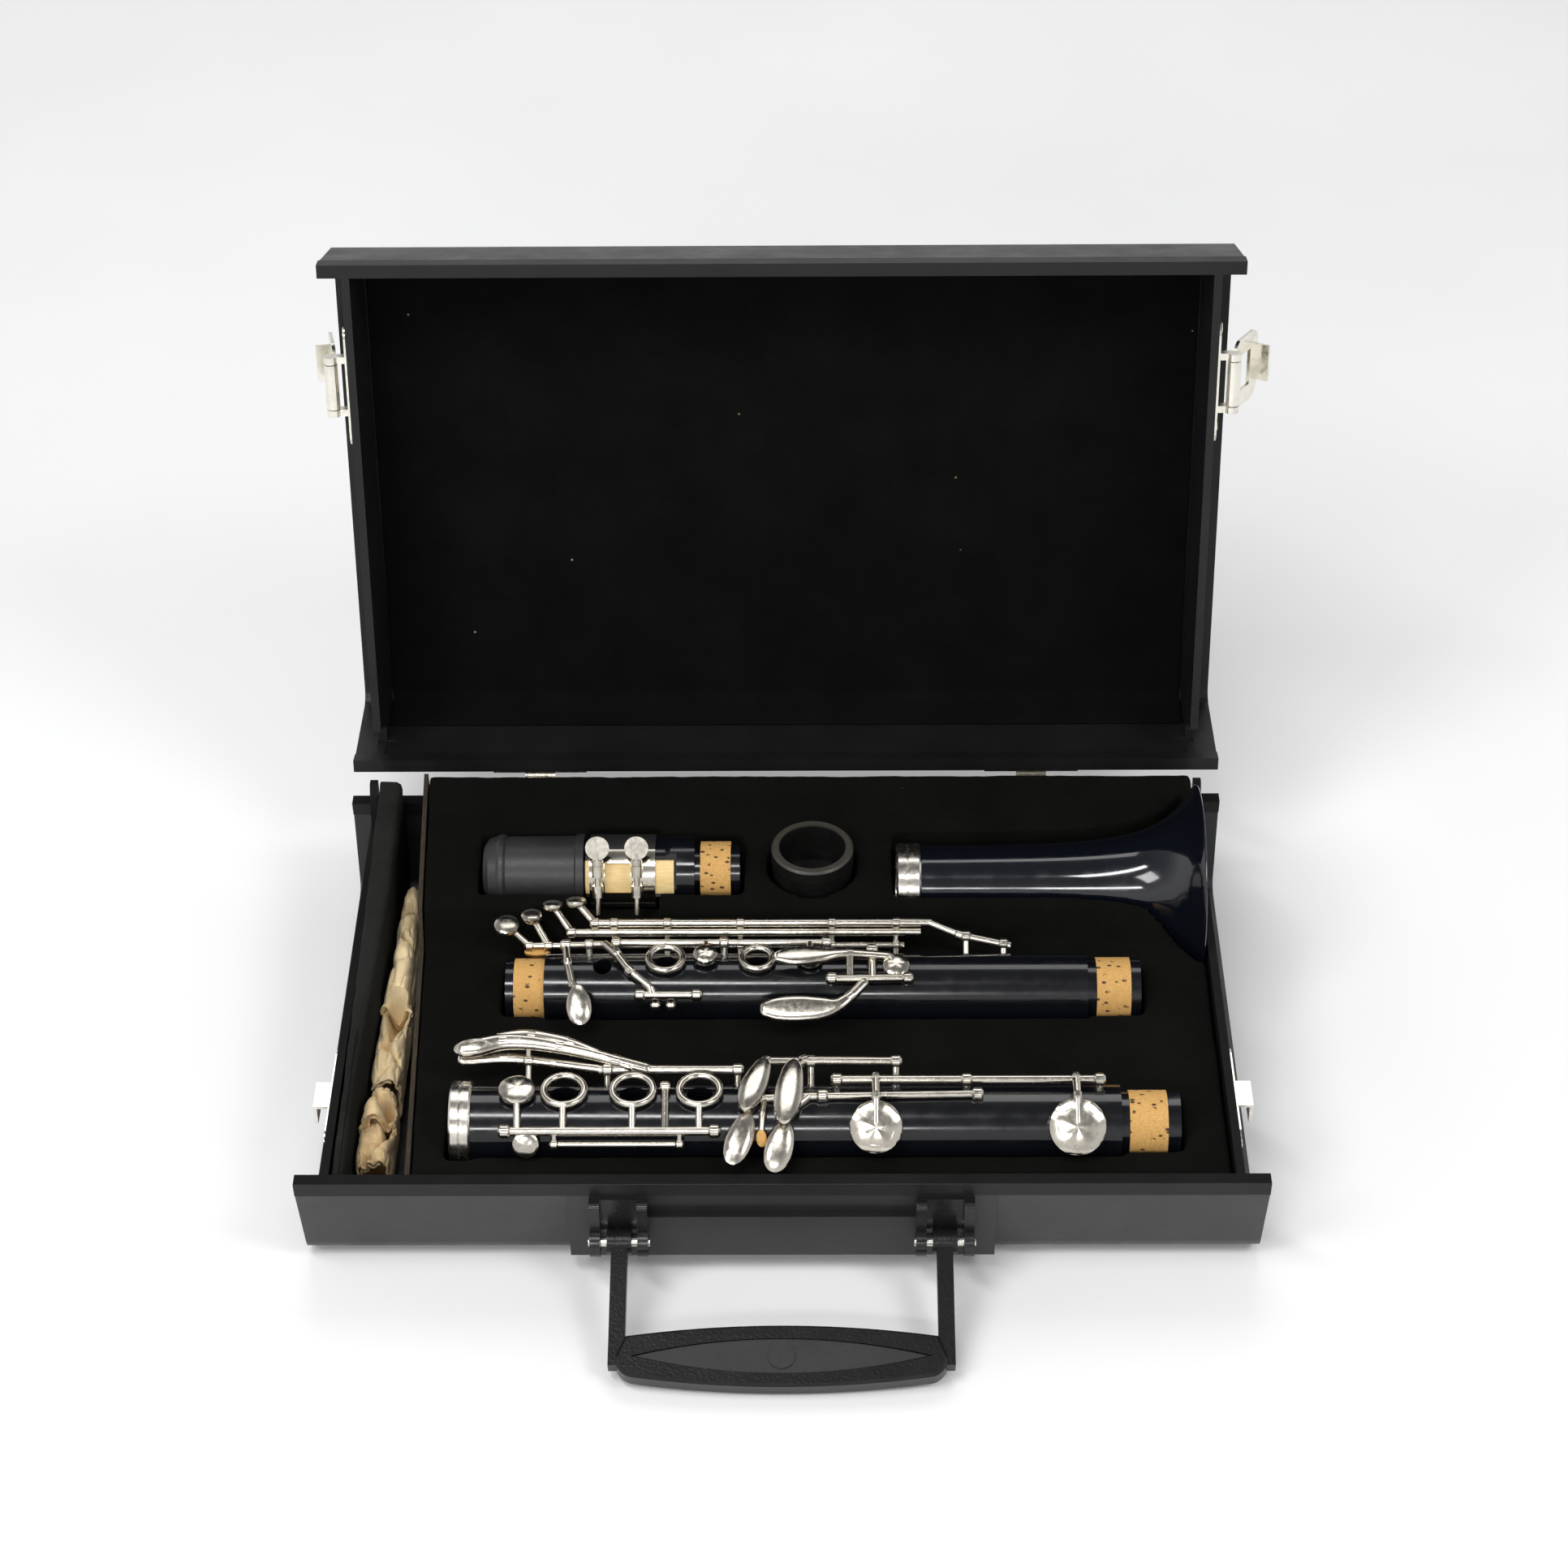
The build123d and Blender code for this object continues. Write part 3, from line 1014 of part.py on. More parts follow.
def make_side_keys():
    shapes = []
    for (y, z), x0, x1 in SIDE_RAILS:
        shapes.append(rod((x0, y, z), (x1, y, z), SIDE_RAIL_RADIUS))
    for touch, root, normal, width in SIDE_TOUCHES:
        shapes.append(rod(touch, root, 1.4))
        shapes.append(knob(root, 2.0))
        shapes.append(disc(touch, normal, width / 2, SIDE_TOUCH_THICKNESS))
    high_y, high_z = SIDE_RAILS[0][0]
    low_y, low_z = SIDE_RAILS[-1][0]
    for x in (-62.0, -42.5, -15.8, 17.6, 41.0):
        shapes += upper_post((x, low_y, low_z), 1.2, 2.0)
        shapes.append(rod((x, low_y, low_z), (x, high_y, high_z), 1.0))
        shapes.append(knob((x, high_y, high_z), 2.0))
    shapes.append(bent_rod([(53.0, high_y, high_z), (64.0, 12.8, 53.0), (82.6, 9.4, 50.8)], 1.5))
    shapes += upper_post((66.4, 12.4, 52.6), 1.2, 2.2)
    shapes += upper_post((80.0, 9.9, 51.2), 1.2, 2.1)
    return upper_keys(shapes)


def make_upper_rings():
    y, z = UPPER_DRAWN
    rod_y, rod_z = 5.4, 56.2
    shapes = [rod((-60.5, rod_y, rod_z), (16.6, rod_y, rod_z), 1.3)]
    for x in (-60.5, -21.5, 15.6):
        shapes += upper_post((x, rod_y, rod_z), 1.3, 2.0)
    for x, outer, inner in ((-42.5, 7.2, 5.2), (-9.4, 6.5, 4.6)):
        shapes.append(ring((x, y + 0.4, z + 15.2), (0, 0, 1), outer, inner, 1.7))
        shapes.append(rod((x, y + outer - 0.4, z + 15.2), (x, rod_y, rod_z), 1.1))
    shapes.append(disc((-28.1, -2.2, 57.0), (0, -0.1, 1), 4.2, 2.2))
    shapes.append(rod((-28.1, 0.6, 57.4), (-28.1, rod_y, rod_z), 1.2))
    shapes.append(disc((9.6, -2.6, 56.2), (0, -0.1, 1), 4.4, 2.0))
    shapes.append(rod((9.6, 0.6, 56.4), (9.6, rod_y, rod_z), 1.2))
    return upper_keys(shapes)


def make_upper_left_keys():
    teardrop = [(-78.8, 3.8, 56.6), (-77.6, -6.0, 57.0), (-75.4, -15.0, 54.4), (-73.6, -19.6, 52.2)]
    shapes = [bent_rod(teardrop, 1.3)]
    shapes.append(oval_plate((-73.0, -21.9, 50.8), (0.10, -0.85, -0.50), (0, -0.50, 0.85),
                             14.5, 8.2, 1.8))
    shapes += upper_post((-78.8, 3.8, 56.6), 1.3, 2.2)
    shapes += upper_post((-70.4, 4.4, 56.4), 1.2, 1.9)
    shapes.append(rod((-78.8, 3.8, 56.6), (-64.8, 4.8, 56.2), 1.2))
    arm = [(-64.8, 4.8, 56.2), (-60.2, -1.6, 57.4), (-55.0, -10.0, 56.6), (-47.6, -15.4, 53.6)]
    shapes.append(bent_rod(arm, 1.5))
    shapes.append(rod((-52.7, -17.6, 51.8), (-29.8, -17.6, 51.8), 1.5))
    shapes.append(rod((-47.6, -15.4, 53.6), (-46.6, -17.6, 51.8), 1.5))
    for x in (-51.4, -31.0):
        shapes += upper_post((x, -17.6, 51.8), 1.3, 2.2)
    for x in (-45.9, -40.3):
        shapes.append(knob((x, -18.2, 47.4), 1.9))
        shapes.append(rod((x, -17.6, 51.8), (x, -18.2, 47.4), 0.9))
    return upper_keys(shapes)


def make_throat_keys():
    shapes = [
        oval_plate((6.4, -6.2, 60.2), (1, 0.04, 0), (0, -0.1, 1), 19.0, 7.0, 1.9),
        bent_rod([(12.0, -6.0, 60.2), (24.0, -4.4, 59.6), (38.6, -5.0, 58.6)], 1.5),
        oval_plate((6.2, -26.4, 53.2), (1, 0, 0), (0, -0.45, 0.9), 28.0, 8.4, 2.0),
        bent_rod([(17.5, -26.0, 53.6), (24.0, -22.0, 55.0), (29.0, -16.6, 56.6)], 1.7),
        rod((16.0, -14.4, 56.6), (46.0, -14.0, 56.6), 1.5),
        rod((32.0, -0.6, 58.0), (32.0, -14.2, 56.6), 1.5),
        rod((24.0, -4.4, 59.6), (24.0, -14.2, 56.6), 1.3),
        disc((40.6, -8.6, 57.2), (0, -0.2, 1), 4.6, 2.0),
        rod((40.6, -8.6, 57.2), (40.6, -14.0, 56.6), 1.3),
        rod((38.6, -5.0, 58.6), (40.6, -8.6, 57.4), 1.5)]
    for x in (17.4, 44.6):
        shapes += upper_post((x, -14.2, 56.6), 1.4, 2.2)
    shapes += upper_post((32.0, -0.6, 58.0), 1.4, 2.2)
    return upper_keys(shapes)


def make_long_levers():
    rod_y, rod_z = -57.6, 53.6
    front = [(-113.6, -50.2, 51.6), (-98.0, -49.8, 51.6), (-80.0, -53.0, 52.2),
             (-62.5, rod_y, rod_z)]
    rear = [(-112.6, -50.6, 56.4), (-98.0, -47.0, 57.2), (-78.0, -49.4, 56.6),
            (-58.0, -55.4, 55.8), (-46.0, rod_y, rod_z)]
    beside = [(-100.0, -45.6, 57.4), (-88.0, -45.2, 57.9), (-74.0, -48.4, 57.2),
              (-62.0, -54.0, 56.2), (-52.0, rod_y, 54.6)]
    shapes = [bent_rod(front, 1.5), bent_rod(rear, 1.9), bent_rod(beside, 1.7)]
    shapes.append(oval_plate((-108.6, -49.8, 57.4), (1, 0.2, 0), (0, -0.7, 0.7), 13.0, 5.6, 1.8))
    shapes.append(rod((-64.0, rod_y, rod_z), (-14.0, rod_y, rod_z), 1.7))
    shapes += lower_post((-89.0, -51.4, 51.9), 1.2, 2.2)
    shapes.append(rod((-89.0, -51.4, 51.9), (-89.0, -48.1, 56.9), 1.0))
    for x in (-61.0, -15.5):
        shapes += lower_post((x, rod_y, rod_z), 1.2, 2.3)
    return lower_keys(shapes)


def make_lower_rings():
    y, z = LOWER_DRAWN
    rod_y, rod_z = -84.6, 50.8
    low_y, low_z = -87.2, 47.0
    top = z + 15.8
    shapes = [rod((-97.0, rod_y, rod_z), (-21.7, rod_y, rod_z), 1.6),
              rod((-79.6, low_y, low_z), (-34.0, low_y, low_z), 1.1)]
    for x in (-95.5, -23.2):
        shapes += lower_post((x, rod_y, rod_z), 1.2, 2.4)
    for x in (-78.4, -35.2):
        shapes += lower_post((x, low_y, low_z), 0.9, 1.7)
        shapes.append(rod((x, low_y, low_z), (x, rod_y, rod_z), 0.9))
    for x in (-75.5, -51.6, -28.5):
        shapes.append(ring((x, -70.2, top), (0, 0, 1), 8.0, 6.1, 1.7))
        shapes.append(rod((x, -77.4, top), (x, rod_y, rod_z), 1.2))
    shapes.append(disc((-91.7, -70.6, top + 0.4), (0, 0, 1), 6.2, 1.9))
    shapes.append(rod((-91.5, -75.4, top + 0.2), (-91.2, rod_y, rod_z), 1.2))
    shapes.append(rod((-40.4, -69.0, top + 0.4), (-40.2, rod_y, rod_z), 1.3))
    shapes.append(knob((-40.4, -69.0, top + 0.4), 1.9))
    shapes.append(disc((-88.2, -87.0, 46.8), (0, -0.85, 0.5), 4.4, 1.6))
    shapes.append(rod((-88.2, -87.0, 46.8), (-88.2, rod_y, rod_z), 1.0))
    return lower_keys(shapes)


# Centre, direction, length and width of each little-finger paddle
PADDLES = [((-9.4, -69.6, 58.4), (0.30, 0.95, 0.06), 24.0, 8.4),
           ((2.5, -73.6, 58.9), (0.12, 0.99, 0.06), 29.0, 9.0),
           ((-14.5, -88.2, 50.4), (0.31, 0.85, 0.42), 19.4, 8.6),
           ((-0.8, -90.2, 48.4), (0.27, 0.77, 0.58), 17.6, 9.2)]
PADDLE_THICKNESS = 2.0


def make_pinky_keys():
    shapes = []
    for centre, along, length, width in PADDLES:
        normal = (0, -along[2], along[1])
        shapes.append(oval_plate(centre, along, normal, length, width, PADDLE_THICKNESS))
    shapes.append(bent_rod([(-7.6, -63.4, 58.7), (-5.6, -57.6, 57.8), (7.0, -57.0, 57.0)], 1.5))
    shapes.append(bent_rod([(3.8, -63.0, 59.3), (7.4, -57.4, 57.8), (41.3, -57.0, 57.0)], 1.6))
    shapes.append(bent_rod([(-12.0, -80.6, 54.0), (-11.4, -76.8, 55.2), (-8.0, -74.0, 55.9),
                            (9.0, -73.0, 55.9)], 1.4))
    shapes.append(bent_rod([(1.0, -84.8, 52.4), (2.8, -79.0, 54.8), (9.0, -73.0, 55.9)], 1.5))
    shapes.append(bent_rod([(-5.8, -74.0, 55.9), (-6.6, -80.0, 54.0), (-7.0, -85.0, 50.4)], 1.1))
    shapes.append(rod((9.0, -73.0, 55.9), (69.1, -72.0, 56.0), 1.3))
    for p in ((10.0, -57.0, 57.0), (39.6, -57.0, 57.0)):
        shapes += lower_post(p, 1.4, 2.3)
    for p in ((14.0, -72.9, 56.2), (67.6, -72.0, 56.0)):
        shapes += lower_post(p, 1.3, 2.2)
    return lower_keys(shapes)


def make_pad_keys():
    y, z = LOWER_DRAWN
    rod_y, rod_z = -65.6, 56.6
    shapes = [rod((18.0, rod_y, rod_z), (111.3, rod_y, rod_z), 1.6)]
    for x in (19.0, 64.0, 110.0):
        shapes += lower_post((x, rod_y, rod_z), 1.4, 2.3)
    for x, radius in ((32.4, 8.9), (101.6, 9.7)):
        centre = around(y, z, x, 17.2, 138)
        normal = (0, cos(radians(138)), sin(radians(138)))
        cup_body = disc(centre, normal, radius, 2.4)
        cup_body = cup_body + disc(around(y, z, x, 18.8, 138), normal, radius * 0.72, 1.4)
        shapes.append(cup_body)
        shapes.append(bent_rod([around(y, z, x, 19.4, 134), (x, -77.2, 60.4),
                                (x, -68.0, 60.2), (x, rod_y, rod_z)], 1.3))
    return lower_keys(shapes)


# Nodes
def right_latch_on_lid(shape, swing):
    return lid_pose(latch_swing(shape, swing))


def left_latch_on_lid(shape, swing):
    return lid_pose(mirrored(latch_swing(shape, swing)))


NODES = {
    "base_shell": make_base_shell(),
    "tray_insert": make_tray(),
    "divider_board": make_divider(),
    "end_padding": make_end_padding(),
    "hinge_leaf_base_left": make_base_leaf(-HINGE_X),
    "hinge_leaf_base_right": make_base_leaf(HINGE_X),
    "hinge_pin_left": make_hinge_pin(-HINGE_X),
    "hinge_pin_right": make_hinge_pin(HINGE_X),
    "catch_right": make_catch(),
    "catch_left": mirrored(make_catch()),
    "bracket_left": make_bracket(-1),
    "bracket_right": make_bracket(1),
    "lid_shell": make_lid_shell(),
    "lid_lining": make_lid_lining(),
    "hinge_leaf_lid_left": make_lid_leaf(-HINGE_X),
    "hinge_leaf_lid_right": make_lid_leaf(HINGE_X),
    "latch_plate_right": lid_pose(make_latch_plate()),
    "latch_plate_left": lid_pose(mirrored(make_latch_plate())),
    "latch_pin_right": lid_pose(make_latch_pin()),
    "latch_pin_left": lid_pose(mirrored(make_latch_pin())),
    "hasp_right": right_latch_on_lid(make_hasp(), -HASP_SWING_RIGHT),
    "hasp_left": left_latch_on_lid(make_hasp(), -HASP_SWING_LEFT),
    "handle": make_handle(),
    "handle_panel": make_handle_panel(),
    "handle_pin_left": make_handle_pin(-1),
    "handle_pin_right": make_handle_pin(1),
    "cloth_roll": cloth_loft(CLOTH_ROLL),
    "cloth_fold": cloth_loft(CLOTH_FOLD),
    "mouthpiece": make_mouthpiece(),
    "mouthpiece_cork": make_mouthpiece_cork(),
    "mouthpiece_cap": make_cap(),
    "reed": make_reed(),
    "ligature": make_ligature(),
    "ligature_screw_left": make_screw(SCREW_X[0]),
    "ligature_screw_right": make_screw(SCREW_X[1]),
    "barrel": make_barrel(),
    "bell": make_bell(),
    "bell_ring": make_bell_ring(),
    "upper_body": make_upper_body(),
    "upper_cork_left": cork_ring(*UPPER_CORKS[0], UPPER_Y, UPPER_Z),
    "upper_cork_right": cork_ring(*UPPER_CORKS[1], UPPER_Y, UPPER_Z),
    "upper_side_keys": make_side_keys(),
    "upper_ring_keys": make_upper_rings(),
    "upper_left_keys": make_upper_left_keys(),
    "upper_throat_keys": make_throat_keys(),
    "lower_body": make_lower_body(),
    "lower_socket_ring": make_socket_ring(),
    "lower_cork": cork_ring(*LOWER_CORK, LOWER_Y, LOWER_Z),
    "lower_long_levers": make_long_levers(),
    "lower_ring_keys": make_lower_rings(),
    "lower_pinky_keys": make_pinky_keys(),
    "lower_pad_keys": make_pad_keys(),
}
for side_x, x_name in ((-FOOT_X, "left"), (FOOT_X, "right")):
    for side_y, y_name in ((-FOOT_Y, "front"), (FOOT_Y, "rear")):
        foot = Pos(side_x, side_y, 0) * Cylinder(FOOT_RADIUS, FOOT_HEIGHT, align=ON_BASE)
        foot = chamfer(foot.edges().group_by(Axis.Z)[0], FOOT_HEIGHT / 3)
        NODES[f"foot_{y_name}_{x_name}"] = foot

os.makedirs("parts", exist_ok=True)
for name, shape in NODES.items():
    export_step(shape, f"parts/{name}.step")
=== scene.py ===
import math

import bmesh
import bpy
from mathutils import Matrix, Vector, noise


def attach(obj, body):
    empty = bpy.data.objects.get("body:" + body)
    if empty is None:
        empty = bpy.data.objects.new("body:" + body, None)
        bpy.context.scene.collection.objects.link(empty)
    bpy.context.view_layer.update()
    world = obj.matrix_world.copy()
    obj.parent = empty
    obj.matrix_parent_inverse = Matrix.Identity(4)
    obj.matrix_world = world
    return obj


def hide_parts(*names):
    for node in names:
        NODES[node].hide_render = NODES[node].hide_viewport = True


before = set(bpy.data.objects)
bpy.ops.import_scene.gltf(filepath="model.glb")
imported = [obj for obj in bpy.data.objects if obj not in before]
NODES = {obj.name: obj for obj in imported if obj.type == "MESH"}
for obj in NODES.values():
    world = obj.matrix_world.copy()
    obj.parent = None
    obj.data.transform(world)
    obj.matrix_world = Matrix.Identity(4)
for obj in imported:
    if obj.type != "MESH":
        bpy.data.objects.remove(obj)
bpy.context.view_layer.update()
MM = 0.001


# Materials
class Shader:
    """Builds one procedural material, with positions in millimetres of the object's frame."""

    def __init__(self, name, color, roughness, metallic=0.0):
        self.material = bpy.data.materials.new(name)
        self.material.use_nodes = True
        self.tree = self.material.node_tree
        self.bsdf = self.tree.nodes["Principled BSDF"]
        self.bsdf.inputs["Base Color"].default_value = (*color, 1)
        self.bsdf.inputs["Roughness"].default_value = roughness
        self.bsdf.inputs["Metallic"].default_value = metallic
        self.place = self.node("ShaderNodeTexCoord").outputs["Object"]
        self.normal = None

    def node(self, kind, **inputs):
        made = self.tree.nodes.new(kind)
        for key, value in inputs.items():
            self.feed(made, key.replace("_", " "), value)
        return made

    def feed(self, node, key, value):
        if isinstance(value, bpy.types.NodeSocket):
            self.tree.links.new(value, node.inputs[key])
        else:
            node.inputs[key].default_value = value

    def stretched(self, scale):
        mapping = self.node("ShaderNodeMapping")
        self.feed(mapping, "Vector", self.place)
        mapping.inputs["Scale"].default_value = scale
        return mapping.outputs["Vector"]

    def noise(self, per_mm, detail=3.0, rough=0.55, scale=(1, 1, 1)):
        made = self.node("ShaderNodeTexNoise")
        self.feed(made, "Vector", self.stretched(scale))
        self.feed(made, "Scale", per_mm / MM)
        self.feed(made, "Detail", detail)
        self.feed(made, "Roughness", rough)
        return made.outputs["Fac"]

    def cells(self, per_mm, feature="F1", scale=(1, 1, 1), randomness=1.0):
        made = self.node("ShaderNodeTexVoronoi")
        made.feature = feature
        self.feed(made, "Vector", self.stretched(scale))
        self.feed(made, "Scale", per_mm / MM)
        self.feed(made, "Randomness", randomness)
        return made.outputs["Distance"]

    def ramp(self, fac, stops):
        made = self.node("ShaderNodeValToRGB")
        self.feed(made, "Fac", fac)
        elements = made.color_ramp.elements
        while len(elements) < len(stops):
            elements.new(0.5)
        for element, (place, value) in zip(elements, stops):
            element.position = place
            element.color = (*value, 1) if len(value) == 3 else value
        return made.outputs["Color"]

    def levels(self, fac, low, high, out_low=0.0, out_high=1.0):
        made = self.node("ShaderNodeMapRange")
        self.feed(made, "Value", fac)
        self.feed(made, "From Min", low)
        self.feed(made, "From Max", high)
        self.feed(made, "To Min", out_low)
        self.feed(made, "To Max", out_high)
        return made.outputs["Result"]

    def mix(self, fac, a, b, mode="MIX"):
        made = self.node("ShaderNodeMix")
        made.data_type = "RGBA"
        made.blend_type = mode
        self.feed(made, 0, fac)
        for key, value in ((6, a), (7, b)):
            if isinstance(value, bpy.types.NodeSocket):
                self.tree.links.new(value, made.inputs[key])
            else:
                made.inputs[key].default_value = (*value, 1)
        return made.outputs[2]

    def math(self, operation, a, b=0.0):
        made = self.node("ShaderNodeMath")
        made.operation = operation
        self.feed(made, 0, a)
        self.feed(made, 1, b)
        return made.outputs[0]

    def bump(self, height, depth_mm, strength=1.0):
        made = self.node("ShaderNodeBump")
        self.feed(made, "Height", height)
        made.inputs["Distance"].default_value = depth_mm * MM
        made.inputs["Strength"].default_value = strength
        if self.normal is not None:
            self.feed(made, "Normal", self.normal)
        self.normal = made.outputs["Normal"]
        self.feed(self.bsdf, "Normal", self.normal)

    def set(self, **values):
        for key, value in values.items():
            self.feed(self.bsdf, key.replace("_", " "), value)
        return self

    def along(self, axis):
        """The place along one axis, in metres."""
        split = self.node("ShaderNodeSeparateXYZ")
        self.feed(split, "Vector", self.place)
        return split.outputs[axis]


BASE_FLANGE_Z = 38.3
BASE_RIM_Z = 43.7
RIM_TOP_Y = 103.0


def shell_plastic():
    s = Shader("shell_plastic", (0.010, 0.010, 0.011), 0.38)
    grain = s.cells(1.5, "SMOOTH_F1", randomness=0.9)
    smudge = s.levels(s.noise(0.02, 3, 0.6), 0.35, 0.7)
    s.set(Base_Color=s.mix(smudge, (0.0085, 0.0085, 0.009), (0.013, 0.013, 0.0135)))
    s.set(Roughness=s.levels(s.noise(0.06, 4, 0.65), 0.3, 0.75, 0.32, 0.46))
    s.bump(grain, 0.10, 0.55)
    s.bump(s.noise(2.8, 4), 0.04, 0.5)
    # the flange and the lid shine less than the front panel, and the base's rim least
    height = s.along("Z")
    inside = s.math("ABSOLUTE", s.along("Y"))
    rim_top = s.math("MULTIPLY", s.levels(height, BASE_RIM_Z * MM, (BASE_RIM_Z + 0.2) * MM),
                     s.levels(inside, RIM_TOP_Y * MM, (RIM_TOP_Y + 0.3) * MM, 1.0, 0.0))
    gloss = s.levels(height, BASE_FLANGE_Z * MM, (BASE_FLANGE_Z + 0.5) * MM, 0.66, 0.30)
    s.set(Specular_IOR_Level=s.math("MULTIPLY", gloss, s.levels(rim_top, 0, 1, 1.0, 0.12)))
    return s.material


def smooth_plastic(name, color, roughness):
    s = Shader(name, color, roughness)
    scuff = s.noise(0.5, 5, 0.7, (1, 3, 3))
    s.set(Roughness=s.levels(scuff, 0.35, 0.75, roughness - 0.06, roughness + 0.12))
    light = tuple(min(1, c * 1.35 + 0.002) for c in color)
    s.set(Base_Color=s.mix(s.levels(s.noise(0.05, 3), 0.3, 0.7), color, light))
    s.bump(s.noise(3.0, 3), 0.02, 0.4)
    return s.material


def pebbled_plastic():
    s = Shader("handle_pebble", (0.008, 0.008, 0.0085), 0.30)
    shade = s.levels(s.noise(0.08, 3), 0.3, 0.7)
    s.set(Base_Color=s.mix(shade, (0.007, 0.007, 0.0075), (0.011, 0.011, 0.0115)))
    s.bsdf.inputs["Specular IOR Level"].default_value = 0.34
    s.bump(s.cells(1.1, "SMOOTH_F1"), 0.12, 0.6)
    s.bump(s.noise(3.0, 3), 0.03, 0.5)
    return s.material


def plush(name, color, lint_rate):
    s = Shader(name, color, 0.95)
    pile = s.noise(1.6, 4, 0.7)
    patches = s.noise(0.035, 4, 0.6)
    light = tuple(c * 1.9 + 0.0008 for c in color)
    shade = s.mix(s.levels(patches, 0.35, 0.72), color, light)
    shade = s.mix(s.levels(pile, 0.35, 0.75, 0.0, 0.8), shade, light)
    spots = s.cells(0.055)
    lint = s.levels(spots, 0.010 * lint_rate, 0.034 * lint_rate, 1.0, 0.0)
    rare = s.math("GREATER_THAN", s.noise(0.05, 1), 0.54)
    shade = s.mix(s.math("MULTIPLY", lint, rare), shade, (0.42, 0.34, 0.17))
    s.set(Base_Color=shade)
    s.bsdf.inputs["Sheen Weight"].default_value = 0.012
    s.bsdf.inputs["Sheen Roughness"].default_value = 0.5
    s.bsdf.inputs["Sheen Tint"].default_value = (0.75, 0.75, 0.72, 1)
    s.bsdf.inputs["Specular IOR Level"].default_value = 0.05
    s.bump(pile, 0.55, 0.8)
    s.bump(s.noise(5.0, 3), 0.2, 0.6)
    return s.material


def nickel(name, color, roughness):
    s = Shader(name, color, roughness, 1.0)
    tarnish = s.noise(0.12, 5, 0.65)
    dark = tuple(c * 0.62 for c in color)
    s.set(Base_Color=s.mix(s.levels(tarnish, 0.45, 0.78, 0, 0.75), color, dark))
    s.set(Roughness=s.levels(s.noise(0.6, 4, 0.6), 0.3, 0.75, roughness - 0.05, roughness + 0.12))
    s.bump(s.noise(2.2, 2), 0.004, 0.25)
    return s.material


# The mouthpiece's axis as (y, z) in millimetres, and which way its reed faces
REAR_AXIS = (49.6, 52.0)
REED_OUT = (math.cos(math.radians(150)), math.sin(math.radians(150)))
PLATED_FROM = 9.2


def ligature_metal():
    """Nickel around the screws and the reed, dull black over the rest of the band."""
    s = Shader("ligature_metal", (0.80, 0.76, 0.66), 0.2, 1.0)
    y = s.math("MULTIPLY", s.math("SUBTRACT", s.along("Y"), REAR_AXIS[0] * MM), REED_OUT[0])
    z = s.math("MULTIPLY", s.math("SUBTRACT", s.along("Z"), REAR_AXIS[1] * MM), REED_OUT[1])
    plated = s.levels(s.math("ADD", y, z), PLATED_FROM * MM, (PLATED_FROM + 0.4) * MM)
    tarnish = s.levels(s.noise(0.2, 4), 0.4, 0.75)
    bright = s.mix(tarnish, (0.80, 0.76, 0.66), (0.52, 0.48, 0.40))
    s.set(Base_Color=s.mix(plated, (0.020, 0.020, 0.020), bright))
    s.set(Metallic=plated, Roughness=s.levels(plated, 0, 1, 0.42, 0.17))
    s.bump(s.noise(1.8, 3), 0.006, 0.3)
    return s.material


def cork():
    s = Shader("cork", (0.72, 0.44, 0.17), 0.78)
    pores = s.cells(0.42, scale=(0.6, 1, 1))
    fleck = s.noise(1.3, 5, 0.7)
    base = s.mix(s.levels(fleck, 0.3, 0.72), (0.76, 0.455, 0.145), (0.54, 0.285, 0.080))
    patches = s.math("GREATER_THAN", s.noise(0.35, 2), 0.43)
    speck = s.math("MULTIPLY", s.levels(pores, 0.17, 0.28, 1.0, 0.0), patches)
    s.set(Base_Color=s.mix(speck, base, (0.07, 0.035, 0.015)))
    s.bump(s.levels(pores, 0.10, 0.25), 0.16, 0.6)
    s.bump(fleck, 0.1, 0.5)
    return s.material


def cane():
    s = Shader("reed_cane", (0.86, 0.62, 0.24), 0.5)
    fibre = s.noise(1.1, 4, 0.6, (0.12, 1, 1))
    s.set(Base_Color=s.mix(s.levels(fibre, 0.35, 0.7), (0.92, 0.70, 0.34), (0.80, 0.55, 0.22)))
    s.bump(fibre, 0.05, 0.5)
    return s.material


# Between the cloth fold in front, whose flannel is darkened with painted shade, and the rolled
# cloth behind
CLOTH_GAP_Y = -42.0


def flannel():
    s = Shader("flannel", (0.80, 0.60, 0.33), 0.9)
    warp = s.noise(2.0, 2, 0.5, (1, 0.25, 1))
    weft = s.noise(2.0, 2, 0.5, (1, 1, 0.25))
    stain = s.noise(0.05, 4, 0.6)
    stained = s.levels(stain, 0.35, 0.7)
    # the cloth fold in front gets a darker copy of the flannel: painted shade for its creases; the
    # random stains are the cloth's own
    folded_painted_shade = s.mix(stained, (0.78, 0.58, 0.31), (0.60, 0.41, 0.19))
    rolled = s.mix(stained, (0.95, 0.77, 0.46), (0.82, 0.62, 0.34))
    behind = s.levels(s.along("Y"), CLOTH_GAP_Y * MM, (CLOTH_GAP_Y + 2.0) * MM)
    base = s.mix(behind, folded_painted_shade, rolled)
    s.set(Base_Color=s.mix(s.levels(warp, 0.3, 0.7, 0, 0.35), base, (0.90, 0.74, 0.48)))
    s.bsdf.inputs["Sheen Weight"].default_value = 0.15
    s.bsdf.inputs["Specular IOR Level"].default_value = 0.15
    s.bump(warp, 0.14, 0.7)
    s.bump(weft, 0.14, 0.7)
    return s.material


BARREL_RIM_Z = 62.9


